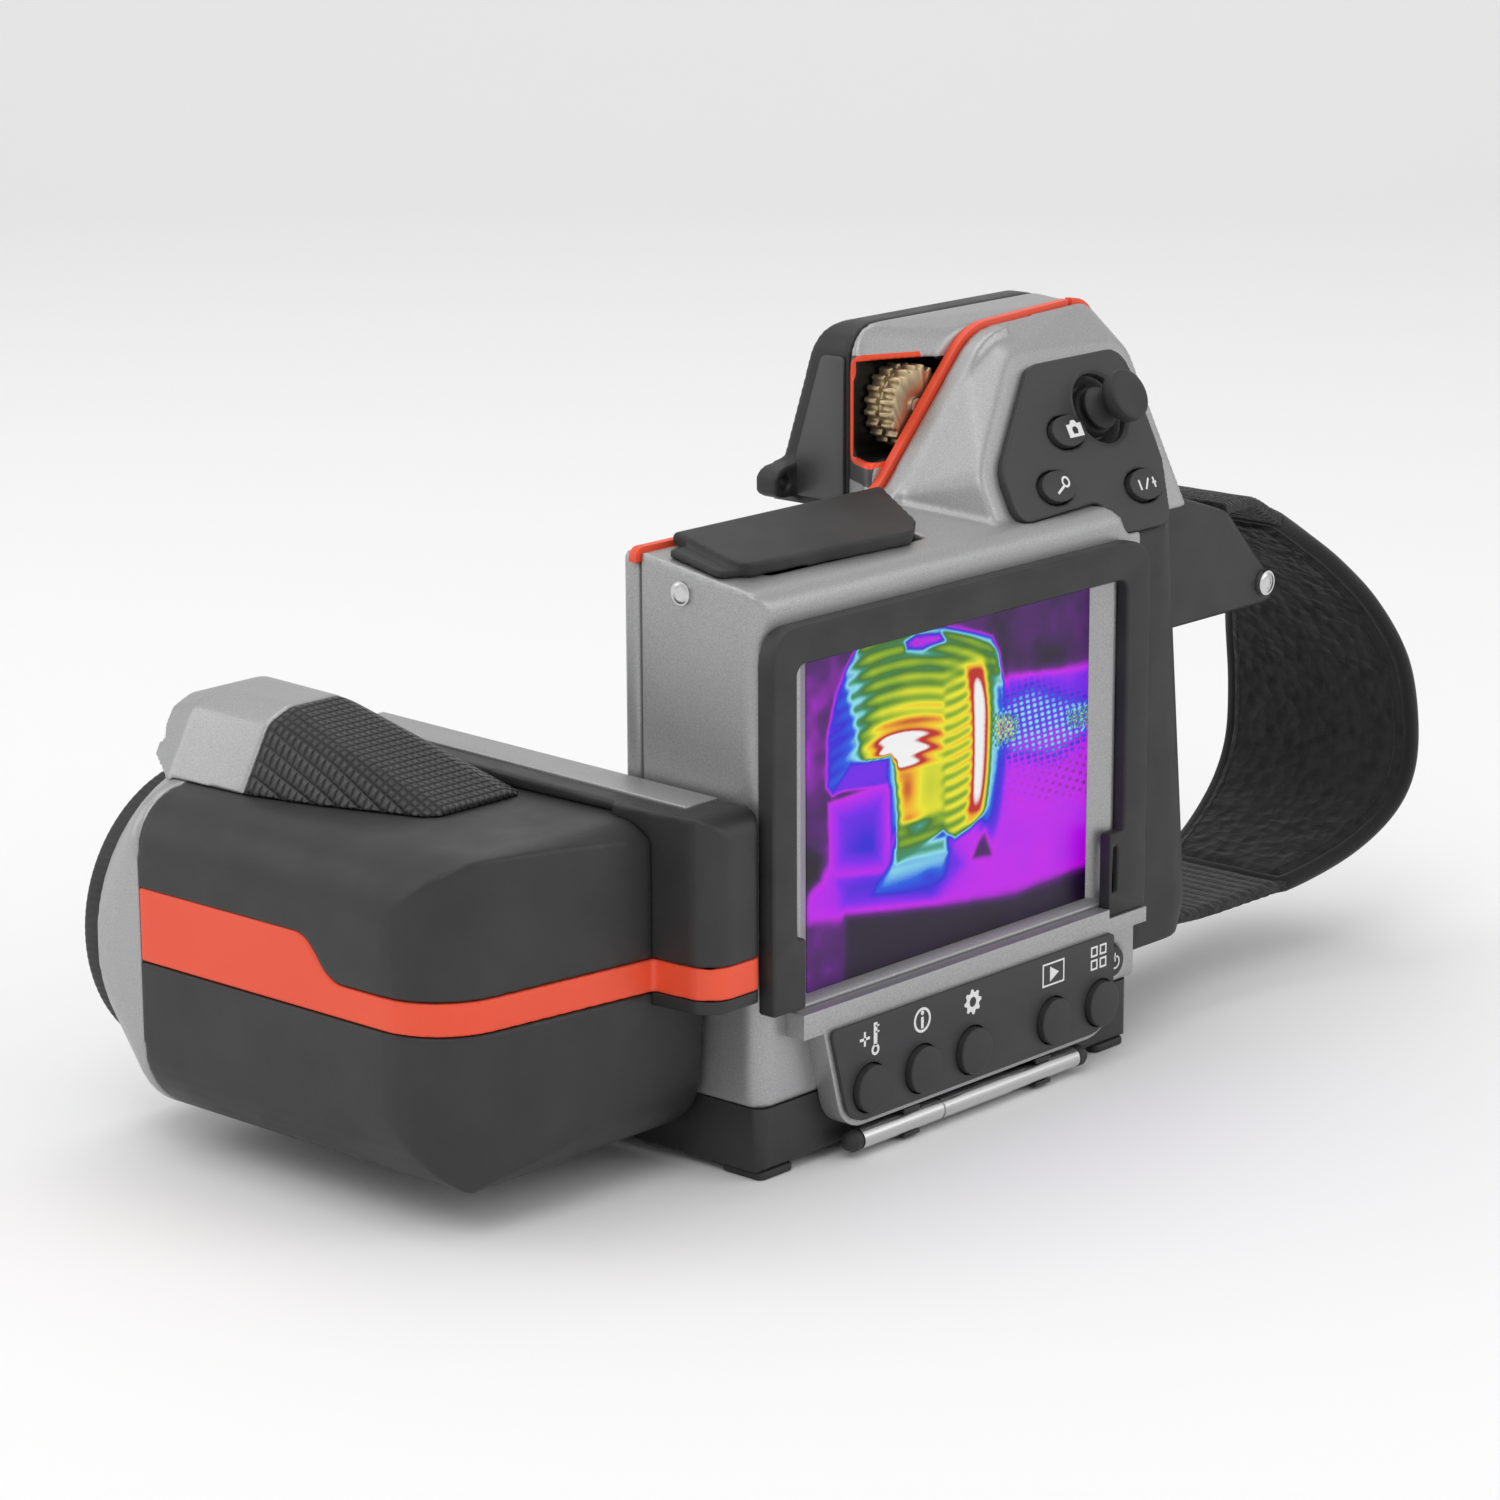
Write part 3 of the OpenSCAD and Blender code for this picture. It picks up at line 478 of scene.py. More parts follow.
def spline(points, per):
    """Catmull-Rom through rows of numbers."""
    p = [np.array(q, float) for q in points]
    p = [2 * p[0] - p[1]] + p + [2 * p[-1] - p[-2]]
    out = []
    for i in range(1, len(p) - 2):
        for k in range(per):
            t = k / per
            out.append(0.5 * ((2 * p[i]) + (-p[i - 1] + p[i + 1]) * t
                              + (2 * p[i - 1] - 5 * p[i] + 4 * p[i + 1] - p[i + 2]) * t * t
                              + (-p[i - 1] + 3 * p[i] - 3 * p[i + 1] + p[i + 2]) * t ** 3))
    out.append(p[-2])
    return out


# ------------------------------------------ hidden and plain CAD pieces keep their own mesh
for n, o in NODES.items():
    o.data.materials.clear()
    o.data.materials.append(FINISH[SLOT[n]].m)
    shade(o, 35)

# ---------------------------------------------------------------- moulded shells
softened("rear_housing", 0.55, 5, 0.3)
softened("front_housing", 0.6, 5, 0.3, shell_paint)
softened("pod_cap", 0.5, 6, 0.35)
softened("grip_cover", 0.6, 6, 0.3)
softened("strap_wing", 0.5, 8, 0.35)
softened("lens_upper_shell", 0.5, 5, 0.35)
softened("lens_lower_shell", 0.5, 5, 0.35)
softened("lens_stripe", 0.4, 2, 0.4)
softened("arm_cover", 0.4, 4, 0.4)
softened("camera_hood", 0.4, 4, 0.4)
softened("front_ring", 0.45, 3, 0.4)
softened("pod_panel", 0.3, 4, 0.4, panel_dark)
softened("connector_flap", 0.35, 4, 0.4)
bevelled("seam_trim", 0.35, 3)
bevelled("base_housing", 0.7, 3)
bevelled("battery_door", 0.4, 3)
bevelled("feet", 0.5, 3)
bevelled("lcd_bezel", 0.2, 2)
bevelled("screen_frame", 0.6, 4)
bevelled("key_tray", 0.45, 4)
bevelled("key_panel", 0.25, 3, panel_dark)
bevelled("pod_side_panel", 0.25, 3, grey_panel)
bevelled("arm_strip", 0.2, 2)
bevelled("adjust_wheel", 0.18, 2)
fine_ring()
bevelled("stylus_clips", 0.25, 2)
bevelled("trigger_button", 0.5, 4)
for k in ("measure_key", "info_key", "setup_key", "play_key", "menu_key", "power_key", "camera_key",
          "zoom_key", "range_key"):
    bevelled(k, 0.45, 4)
softened("hood_pad", 0.4, 8, 1.0, pad_grip)

# ---------------------------------------------------------------- the picture on the display
SX, SZ = -36.5, 27.0  # mm, the lower left corner of the display


def picture(nx=420, nz=315):
    u, v = np.meshgrid(np.linspace(0, 71.12, nx), np.linspace(0, 53.34, nz))
    rng = np.random.default_rng(3)

    def side(d, soft=0.25):
        return 1 / (1 + np.exp(-np.clip(d / soft, -40, 40)))

    def inside(poly, soft=0.25):
        """Soft mask of any polygon: signed distance to its edges."""
        d = np.full(u.shape, 1e9)
        odd = np.zeros(u.shape, bool)
        for (x0, y0), (x1, y1) in zip(poly, poly[1:] + poly[:1]):
            ex, ey = x1 - x0, y1 - y0
            t = np.clip(((u - x0) * ex + (v - y0) * ey) / (ex * ex + ey * ey), 0, 1)
            d = np.minimum(d, np.hypot(u - x0 - t * ex, v - y0 - t * ey))
            cross = ((y0 > v) != (y1 > v)) & (u < (x1 - x0) * (v - y0) / ((y1 - y0) or 1e-9) + x0)
            odd ^= cross
        signed = np.where(odd, d, -d)
        return side(signed, soft), signed

    def gauss(x, y, sx, sy):
        return np.exp(-((u - x) / sx) ** 2 - ((v - y) / sy) ** 2)

    def smooth_noise(cell):
        g = rng.random((int(54 / cell) + 3, int(72 / cell) + 3))
        x, y = u / cell, v / cell
        i, j = x.astype(int), y.astype(int)
        a, b = x - i, y - j
        a, b = a * a * (3 - 2 * a), b * b * (3 - 2 * b)
        return (g[j, i] * (1 - a) * (1 - b) + g[j, i + 1] * a * (1 - b) + g[j + 1, i] * (1 - a) * b + g[j + 1,
            i + 1] * a * b)

    def put(heat, mask, value):
        return heat * (1 - mask) + value * mask

    heat = 0.085 + 0.09 * smooth_noise(6) + 0.05 * smooth_noise(2.2)
    heat -= 0.10 * gauss(62, 42, 12, 4) + 0.05 * gauss(48, 49, 7, 5)
    # wall behind, left edge
    heat += 0.05 * gauss(1, 38, 5, 9)
    # blue haze and the guard's back on the right
    m, _ = inside([(47, 39), (50, 42.5), (72, 40.5), (72, 29), (49, 30)], 0.7)
    heat = put(heat, m, 0.345 + 0.04 * smooth_noise(3))
    # perforated plate
    m, _ = inside([(45, 31.5), (72, 31), (72, 9), (40, 10)], 0.6)
    plate_heat = 0.285 + 0.012 * smooth_noise(4)
    holes = np.cos(u * 2 * math.pi / 3.0 + v * 1.1) * np.cos(v * 2 * math.pi / 2.0 - u * 0.55)
    hole_zone = side(u - 45.5, 0.6) * side(v - (16.5 + 0.02 * u), 0.7) * side(31 - v, 0.8)
    plate_heat = plate_heat - 0.075 * side(holes - 0.35, 0.12) * hole_zone * (0.35 + 0.65 * side(u - 58, 3))
    heat = put(heat, m, plate_heat)
    # machine bed in magenta, then the black foreground
    m, _ = inside([(0, 17.5), (7, 20.5), (44, 22), (72, 17), (72, 5.5), (48, 4.8), (0, 10.8)], 0.5)
    heat = put(heat, m, 0.28 + 0.02 * smooth_noise(5))
    m, _ = inside([(8, 16.5), (9, 12.5), (32, 9.3), (38, 13), (34, 18)], 1.0)
    heat = put(heat, m, 0.415)
    m, _ = inside([(9.5, 10.3), (32, 6.6), (52, 4.0), (72, 4.8), (72, -2), (9, -2)], 0.5)
    heat = put(heat, m, 0.025 + 0.03 * smooth_noise(4))
    heat = put(heat, inside([(-1, 11), (9, 9.6), (8.2, -2), (-1, -2)], 0.6)[0],
               0.13 + 0.08 * smooth_noise(2.5))
    heat = put(heat, inside([(-1, 24), (3.6, 21.5), (3.0, 18), (-1, 16)], 0.5)[0], 0.02)
    heat = put(heat, inside([(44.3, 18.2), (45.7, 13.0), (41.3, 13.4)], 0.3)[0], 0.10)

    # motor housing with its fins
    body = [(4.8, 32.5), (5.0, 41), (7.0, 47), (10, 51.5), (13, 54.5), (24, 54.8), (33, 53.6), (41, 51.2),
            (45.6, 49.6),
            (47.6, 46.5), (48.7, 41), (48.4, 34), (47, 27), (45, 21.5), (40.5, 18.6), (36.5, 17.6),
            (33.5, 19.5), (22, 16.5),
            (21, 30), (9, 31.5), (6.2, 31)]
    m, d = inside(body, 0.22)
    inner = (u - 9) * 0.85 - (53 - v) * 0.28 + 2.0
    fin = (v + 0.010 * (u - 27) ** 2 + 0.13 * u)
    wave = np.sin(fin * 2 * math.pi / 2.35)
    metal = 0.675 + 0.035 * smooth_noise(5) + 0.045 * wave
    metal += 0.28 * gauss(23, 34.5, 9.5, 4.6) + 0.09 * gauss(28, 38, 14, 7) + 0.10 * gauss(18, 36, 7, 3)
    metal -= 0.035 * gauss(30, 50, 12, 4)
    fins_right = np.sin((v - 0.9 * np.exp(-((u - 41) / 3.5) ** 2)) * 2 * math.pi / 2.05)
    right = side(u - 33.6, 0.3) * side(45 - v, 1.5)
    metal = put(metal, right, 0.735 + 0.05 * fins_right + 0.05 * gauss(38, 33, 5, 9))
    metal = put(metal, inside([(22.5, 30.6), (33.2, 31.6), (33.4, 22.8), (23, 22)], 0.35)[0],
                0.80 - 0.035 * gauss(30, 28, 4, 4)
                + 0.11 * gauss(24.5, 28.5, 2.6, 4) + 0.09 * gauss(25, 23, 3, 1.2))
    metal = put(metal, inside([(21.5, 22.6), (33.6, 22.0), (34, 18.4), (22, 16.5)], 0.4)[0],
                0.70 + 0.03 * np.sin(v * 3))
    metal = put(metal, side(1.0 - np.abs(v - 21.6 + 0.2 * np.sin(u)), 0.25) * gauss(27.5, 21.6, 3.6, 2), 0.60)
    # cool left rim
    rim = np.clip(inner, -3, 12)
    metal = np.where(rim < 6.5, np.interp(rim, [-3, 0.3, 1.8, 3.4, 5.2, 6.5], [0.40, 0.44, 0.55, 0.575, 0.635,
        0.0]) * (rim < 6.4)
                     + metal * (rim >= 6.4), metal) if False else metal
    cool = np.interp(rim, [-3, 0.2, 1.6, 3.0, 4.6, 6.6], [0.27, 0.235, 0.12, 0.10, 0.045, 0.0])
    cool *= side(v - 29.5, 1.5)
    metal = metal - cool * (1.05 + 0.12 * wave)
    # top rim, thin green and cyan
    metal -= 0.10 * side(1.1 - d, 0.3) * side(u - 12, 2) * side(v - 44, 2)
    # slot at the top
    slot = inside([(24.0, 52.4), (26.5, 53.2), (32.4, 52.6), (33.4, 51.2), (28, 50.6), (24.2, 51.2)], 0.3)[0]
    metal = put(metal, slot, 0.24 + 0.07 * smooth_noise(1.2))
    heat = put(heat, m, metal)
    # white-hot bearing ring
    x_ring = 42.0 - 0.0105 * (v - 33) ** 2 - 0.02 * (v - 33) + 1.2
    w = np.abs(u - x_ring)
    span = side(v - 20.2, 0.5) * side(45.8 - v, 0.5)
    heat = put(heat, side(2.45 - w, 0.35) * span, 0.945)
    heat = put(heat, side(1.75 * np.sqrt(np.clip(1 - ((v - 32.3) / 11.2) ** 2, 0, 1)) + 0.15 - w,
                          0.25) * side(v - 22.3, 0.6) * side(43.5 - v, 0.5), 1.0)
    heat = put(heat, side(1.0 - np.abs(u - x_ring - 3.6), 0.4) * side(v - 29, 2) * side(46 - v, 2), 0.62)
    heat = put(heat, side(1.3 - np.abs(u - x_ring - 3.3), 0.5) * side(v - 18, 1) * side(35 - v, 2), 0.53)
    heat = put(heat, side(1.0 - np.abs(u - x_ring - 5.2), 0.4) * side(v - 16.5, 1) * side(42 - v, 1), 0.43)
    # hot coupling with its mesh guard
    lattice = np.cos((u - 48) * 2 * math.pi / 3.3 + 0.4 * v) * np.cos(v * 2 * math.pi / 1.9)
    guard = inside([(47.5, 34), (50, 38.5), (56, 39.5), (64, 36.3), (72, 34), (72, 28.6), (63, 26),
                    (50, 28.6)], 0.8)[0]
    heat = put(heat, guard * side(np.abs(lattice) - 0.42, 0.10), 0.565)
    neck = np.cos(u * 2 * math.pi / 1.3) * np.cos(v * 2 * math.pi / 1.3)
    near = inside([(46.5, 36), (49.5, 36.2), (52.5, 34.5), (52, 31.5), (47, 31.2)], 0.4)[0]
    heat = put(heat, near * side(neck - 0.1, 0.15), 0.80 + 0.14 * gauss(48, 33.8, 2, 1.5))
    far = inside([(65.5, 33.6), (72, 33.8), (72, 29.4), (66, 30.4)], 0.4)[0]
    heat = put(heat, far * side(neck - 0.1, 0.15), 0.70)

    # terminal box
    heat = put(heat, inside([(6.6, 31.3), (10.6, 35.2), (20.4, 34.6), (20.6, 30.2)], 0.2)[0], 0.37)
    heat = put(heat, inside([(19.8, 34.6), (21.6, 33.0), (22.0, 23.4), (20.4, 20.4), (19.4, 30)], 0.3)[0],
               0.50 + 0.05 * gauss(21.5, 30, 1, 4))
    m, d = inside([(5.0, 30.0), (19.6, 30.6), (20.4, 28.8), (20.2, 16.4), (18.6, 15.4), (6.6, 17.4),
                   (5.6, 19)], 0.2)
    heat = put(heat, m, 0.295 + 0.135 * np.clip((d - 0.6) / 3.6, 0,
                                                1) * (0.55 + 0.45 * gauss(14.5, 20.5, 6, 5)))
    # feet, cyan into blue
    m, _ = inside([(20.5, 16.3), (34.5, 15.6), (34.0, 11.6), (30.5, 9.4), (16, 12.6)], 0.35)
    heat = put(heat, m, 0.56 - 0.028 * np.clip(15.6 - v, 0, 5) - 0.03 * gauss(30, 13, 2, 1))
    m, _ = inside([(21, 16.4), (21.2, 19.0), (34.4, 18.6), (34.6, 15.6)], 0.4)
    heat = put(heat, m, 0.60 + 0.03 * (v - 16) / 3)

    heat = np.clip(heat + 0.006 * (rng.random(u.shape) - 0.5), 0, 1)
    x = (SX + u).ravel() * MM
    z = (SZ + v).ravel() * MM
    me = bpy.data.meshes.new("display_picture")
    verts = np.stack([x, np.full(x.shape, -18.30 * MM), z], 1)
    i, j = np.meshgrid(np.arange(nx - 1), np.arange(nz - 1))
    a = (j * nx + i).ravel()
    faces = np.stack([a, a + 1, a + nx + 1, a + nx], 1)
    me.from_pydata(verts.tolist(), [], faces.tolist())
    obj = bpy.data.objects.new("display_picture", me)
    bpy.context.scene.collection.objects.link(obj)
    mat = Mat("thermal_picture", (0, 0, 0), 0.35, 0, 0.35)
    stops = [(0.0, (0, 0, 0)), (0.09, (0.022, 0.0, 0.05)), (0.18, (0.10, 0.0, 0.20)),
             (0.28, (0.62, 0.0, 0.95)),
             (0.35, (0.22, 0.0, 0.95)), (0.43, (0.015, 0.005, 0.75)), (0.49, (0.0, 0.12, 0.85)),
             (0.56, (0.30, 0.85, 0.95)),
             (0.61, (0.03, 0.30, 0.16)), (0.655, (0.05, 0.20, 0.005)), (0.72, (0.27, 0.48, 0.005)),
             (0.80, (0.95, 0.88, 0.01)),
             (0.86, (1.0, 0.45, 0.0)), (0.915, (0.55, 0.012, 0.0)), (0.955, (0.60, 0.0, 0.0)),
             (0.99, (1, 1, 1))]
    at = [p for p, _ in stops]
    flat = heat.ravel()
    tint = np.stack([0.62 * np.interp(flat, at, [c[k] for _,
                                                 c in stops]) for k in range(3)] + [np.ones_like(flat)], 1)
    att = me.color_attributes.new(name="palette", type="FLOAT_COLOR", domain="POINT")
    att.data.foreach_set("color", tint.astype(np.float32).ravel())
    src = mat.t.nodes.new("ShaderNodeVertexColor")
    src.layer_name = "palette"
    mat.t.links.new(src.outputs["Color"], mat.b.inputs["Base Color"])
    mat.t.links.new(src.outputs["Color"], mat.b.inputs["Emission Color"])
    mat.b.inputs["Emission Strength"].default_value = 0.45
    me.materials.append(mat.m)
    return finish_piece(obj, "camera_body")


picture()

# ---------------------------------------------------------------- printed signs
PRINT = []


def on_tray(u, v, h):
    return (u, -23.7 - h, v)


def tray_sign(name, shapes):
    PRINT.append(finish_piece(plate(name, shapes, on_tray, white_ink, 0.06), "camera_body"))


x = -27.3
tray_sign("sign_spot", [bar(x - 2.6, 18.6, x - 0.2, 18.6, 0.45), bar(x - 1.4, 17.4, x - 1.4, 19.8, 0.45),
                        bar(x + 1.2, 17.0, x + 1.2, 20.8, 0.85),
                        bar(x + 1.2, 20.2, x + 2.1, 20.2, 0.3), bar(x + 1.2, 19.2, x + 2.1, 19.2, 0.3),
                        ring_band(x + 1.2, 16.3, 0.95, 0.5)])
x = -14.5
tray_sign("sign_info", [ring_band(x, 18.4, 2.1, 1.65), rect(x - 0.32, 17.0, x + 0.32, 18.9),
                        circle(x, 19.6, 0.38, 16)])
x = -1.7
gear = []
for i in range(32):
    a = 2 * math.pi * i / 32
    gear.append((a, 2.15 if (i % 4) in (0, 1) else 1.65))
tray_sign("sign_setup", [["band", [(x + r * math.cos(a), 18.4 + r * math.sin(a)) for a, r in gear],
                          [(x + 0.85 * math.cos(a), 18.4 + 0.85 * math.sin(a)) for a, r in gear]]])
x = 19.4
tray_sign("sign_play", [frame_band(x - 2.9, 16.4, x + 2.9, 20.4, 0.3),
                        [(x - 0.9, 17.1), (x + 1.4, 18.4), (x - 0.9, 19.7)]])
x = 31.6
tray_sign("sign_menu", [frame_band(x + dx - 0.9, 18.4 + dz - 0.9, x + dx + 0.9, 18.4 + dz + 0.9,
                                   0.32) for dx in (-1.2, 1.2) for dz in (-1.15, 1.15)])

TILT = math.radians(27)


def on_slope(u, v, h=0.0):
    """A point on the thumb panel: u across, v up the slope, h out of it."""
    return (u, -15.95 + v * math.sin(TILT) - h * math.cos(TILT), 93 + v * math.cos(TILT) + h * math.sin(TILT))


def key_sign(name, shapes, body):
    finish_piece(plate(name, shapes, lambda u, v, h: on_slope(u, v, 0.9 + h), white_ink, 0.06), body)


u, v = 40.0, 13.5
key_sign("sign_camera", [["band",
                          [(u - 1.9, v - 1.3), (u + 1.9, v - 1.3), (u + 1.9, v + 1.0), (u + 0.9, v + 1.0),
                           (u + 0.5, v + 1.6), (u - 0.5, v + 1.6), (u - 0.9, v + 1.0), (u - 1.9, v + 1.0)],
                          [(u - 0.6, v - 0.75), (u + 0.6, v - 0.75), (u + 0.75, v - 0.1), (u + 0.6, v + 0.3),
                           (u + 0.3, v + 0.5), (u - 0.3, v + 0.5), (u - 0.6, v + 0.3), (u - 0.75, v - 0.1)]]],
                           "camera_key")
u, v = 32.0, 4.8
key_sign("sign_zoom", [ring_band(u + 0.9, v + 0.45, 1.0, 0.62),
                       bar(u - 1.9, v - 1.2, u + 0.2, v - 0.15, 0.42)], "zoom_key")
u, v = 53.3, 1.8
key_sign("sign_range", [bar(u - 2.1, v - 0.9, u - 2.1, v + 0.9, 0.4),
                        bar(u - 0.9, v - 0.9, u + 0.5, v + 0.9, 0.36),
                        bar(u + 1.7, v - 0.9, u + 1.7, v + 0.9, 0.4), bar(u + 1.2, v, u + 2.2, v, 0.36)],
                        "range_key")
finish_piece(plate("sign_power", [["band", [(40.9 + 1.25 * math.cos(a),
                                             14.6 + 1.25 * math.sin(a)) for a in np.linspace(2.2, 7.22, 24)],
                                   [(40.9 + 0.95 * math.cos(a),
                                     14.6 + 0.95 * math.sin(a)) for a in np.linspace(2.2, 7.22, 24)]],
                                  bar(40.9, 14.7, 40.9, 16.2, 0.32)], lambda u, v, h: (u, -20.1 - h, v),
                                  white_ink, 0.05), "power_key")

# ---------------------------------------------------------------- joystick
stick = on_slope(49.4, 16.3)
out = (0, -math.cos(TILT), math.sin(TILT))
lathe("joystick_cap_skin", [(1.5, -0.4), (3.6, -0.4), (3.7, 0.2), (3.1, 0.9), (2.7, 1.8), (2.6, 2.8),
                            (2.9, 3.6), (3.6, 4.2), (4.25, 4.7),
                            (4.5, 5.3), (4.5, 6.5), (4.35, 7.0), (4.0, 7.25), (3.4, 7.3), (2.4, 7.12),
                            (1.2, 7.0), (0, 6.96)],
      rubber, stick, out, "stick_cap", ["joystick_cap"])
# A part-spherical boot round the pivot, tilting with the stem.
lathe("joystick_boot", [(4.6, -2.0), (4.33, -1.5), (4.0, -1.05), (0, -1.05), (0, -1.2), (3.87, -1.2),
                        (4.15, -1.56), (4.4, -2.0), (4.6, -2.0)],
      gasket, stick, out, "stick_stem")
lathe("joystick_collar", [(6.3, -1.5), (6.5, 0.05), (6.9, 0.25), (7.2, 0.0), (7.2, -0.4), (6.3, -1.5)],
      panel_dark, stick, out, "camera_body")

# ---------------------------------------------------------------- strap
PATH = [(84, 84.4, 9.6), (88.6, 84.9, 9.8), (93.6, 84.4, 10.0), (100.2, 80.8, 10.4), (107.5, 76.1, 11.4),
        (115, 70, 14), (122.2, 62, 17),
        (127.3, 52, 20), (129.7, 41, 20.9), (129.3, 31, 20.9), (124.8, 24, 20), (116, 18.6, 18),
        (104, 14.8, 15), (92, 13.0, 12), (78, 12.6, 10.4), (67.5, 13.6, 10)]
ROWS = spline(PATH, 14)
STRAP_Y = 0.5


def strap_frame(s):
    """Middle point, outward direction, half width at row index s (float)."""
    i = min(int(s), len(ROWS) - 2)
    t = s - i
    p = ROWS[i] * (1 - t) + ROWS[i + 1] * t
    d = ROWS[min(i + 2, len(ROWS) - 1)] - ROWS[max(i - 1, 0)]
    n = Vector((-d[1], 0, d[0])).normalized()
    return Vector((p[0], STRAP_Y, p[1])), n, p[2]


def band_mesh(name, s0, s1, rows, cols, shape, mat, trim=0.0, unit=MM):
    """A closed band along the strap. shape(s, c, top) gives the height of its faces, c from -1 to 1 across."""
    verts, faces = [], []
    for i in range(rows + 1):
        s = s0 + (s1 - s0) * i / rows
        p, n, w = strap_frame(s)
        w -= trim
        for top in (1, -1):
            for j in range(cols + 1):
                c = (2 * j / cols - 1) * top
                verts.append(p + Vector((0, c * w, 0)) + n * shape(s, c, top))
    k = 2 * (cols + 1)
    for i in range(rows):
        for j in range(k):
            a, b = i * k + j, i * k + (j + 1) % k
            faces.append((a, b, b + k, a + k))
    faces.append(tuple(reversed(range(k))))
    faces.append(tuple(range(rows * k, rows * k + k)))
    obj = make(name, verts, faces, mat, 60, unit)
    return obj


def wrinkle(s, c, f, amp, seed):
    q = Vector((s * 0.24 * f, c * 2.1 * f, seed))
    return amp * (noise.noise(q) + 0.5 * noise.noise(q * 2.3) + 0.25 * noise.noise(q * 5.1))


S_TOP, S_PAD0, S_PAD1, S_END = 0.0, 14 * 3.0, 14 * 12.4, float(len(ROWS) - 1)


def pad_shape(s, c, top):
    e = min(1.0, (1 - abs(c)) * 5)
    ends = min(1.0, (s - S_PAD0) / 4 + 0.35, (S_PAD1 - s) / 4 + 0.35)
    puff = 2.05 * math.sqrt(max(0.0, 1 - (1 - e) ** 2)) * ends
    return top * (puff * 0.92 + 0.12) + (wrinkle(s, c, 1.0, 0.34, 3.0 + top) + wrinkle(s, c, 3.2, 0.10,
        8.0 + top)) * e


pad = band_mesh("strap_pad_skin", S_PAD0 + 0.4, S_PAD1 - 0.4, 330, 60, pad_shape, pad_cloth, 1.2)
finish_piece(pad, "camera_body", ["strap_pad"])


def binding_mesh():
    """The folded tape sewn round the pad's edge."""
    path = [(s, 1.0) for s in np.linspace(S_PAD0 + 0.8, S_PAD1 - 0.8, 150)]
    path += [(s, -1.0) for s in np.linspace(S_PAD1 - 0.8, S_PAD0 + 0.8, 150)]
    pts, outs, nrm = [], [], []
    for s, c in path:
        p, n, w = strap_frame(s)
        pts.append(p + Vector((0, c * (w - 1.5), 0)))
        nrm.append(n)
        outs.append(Vector((0, c, 0)))
    m = len(pts)
    verts, faces = [], []
    ring = 12
    for i in range(m):
        tangent = (pts[(i + 1) % m] - pts[i - 1]).normalized()
        o = tangent.cross(nrm[i]).normalized()
        if o.dot(outs[i]) < 0:
            o = -o
        for k in range(ring):
            a = 2 * math.pi * k / ring
            x, y = math.cos(a), math.sin(a)
            verts.append(pts[i] + o * (x * 1.55 + 0.1) + nrm[i] * (y * 1.62 * (1.0 if x > 0 else 0.9)))
    for i in range(m):
        for k in range(ring):
            a, b = i * ring + k, i * ring + (k + 1) % ring
            c, d = ((i + 1) % m) * ring + (k + 1) % ring, ((i + 1) % m) * ring + k
            faces.append((a, b, c, d))
    return make("strap_binding", verts, faces, binding, 60)


finish_piece(binding_mesh(), "camera_body")


def stitches():
    verts, faces = [], []
    for top in (1, -1):
        for c in (1, -1):
            s = S_PAD0 + 2
            while s < S_PAD1 - 2:
                p0, n0, w0 = strap_frame(s)
                p1, n1, w1 = strap_frame(s + 0.34)
                a = p0 + Vector((0, c * (w0 - 3.5), 0)) + n0 * (top * 2.02)
                b = p1 + Vector((0, c * (w1 - 3.5), 0)) + n1 * (top * 2.02)
                ax = Vector((0, 0.16, 0))
                up = n0 * (0.22 * top)
                base = len(verts)
                verts += [a - ax, a + ax, b + ax, b - ax, a * 0.75 + b * 0.25 - ax * .6 + up,
                          a * 0.75 + b * 0.25 + ax * .6 + up,
                          a * 0.25 + b * 0.75 + ax * .6 + up, a * 0.25 + b * 0.75 - ax * .6 + up]
                faces += [(base, base + 1, base + 5, base + 4), (base + 1, base + 2, base + 6, base + 5),
                          (base + 2, base + 3, base + 7, base + 6),
                          (base + 3, base, base + 4, base + 7), (base + 4, base + 5, base + 6, base + 7),
                          (base + 3, base + 2, base + 1, base)]
                s += 0.62
    return make("strap_stitches", verts, faces, webbing, 60)


finish_piece(stitches(), "camera_body")


def web_shape(s, c, top):
    rib = 0.16 * abs(math.sin(s * 1.35))
    edge_drop = 0.5 * max(0.0, (abs(c) - 0.93) / 0.07)
    return top * (1.0 + rib - edge_drop * 0.8) + wrinkle(s, c, 0.7, 0.10, 11.0)


web_a = band_mesh("strap_webbing_skin", S_TOP + 4, S_PAD0 + 5, 240, 24, web_shape, webbing)
web_b = band_mesh("strap_webbing_lower", S_PAD1 - 5, S_END, 170, 24, web_shape, webbing)
finish_piece(web_a, "camera_body", ["strap_webbing"])
finish_piece(web_b, "camera_body")

# ---------------------------------------------------------------- small hardware
def star_screw(name, centre, axis, radius, body, mat=None):
    c, z = Vector(centre), Vector(axis).normalized()
    head = lathe(name, [(radius * 0.9, -0.3), (radius, 0.0), (radius, 0.25), (radius * 0.86, 0.42),
                        (radius * 0.56, 0.46),
                        (radius * 0.50, 0.30), (radius * 0.48, -0.2), (0, -0.35)], mat or steel, c, z, body,
                        steps=48)
    return head


star_screw("body_screw_left", (-48.3, -3.1, 91.2), (-1, 0, 0), 1.9, "camera_body")
lathe("strap_pin_head", [(2.2, 0.0), (2.2, 0.7), (1.8, 1.05), (1.0, 1.15), (0.9, 0.8), (0, 0.7)], steel,
      (95.5, -9.9, 70.2), (0, -1, 0), "camera_body")

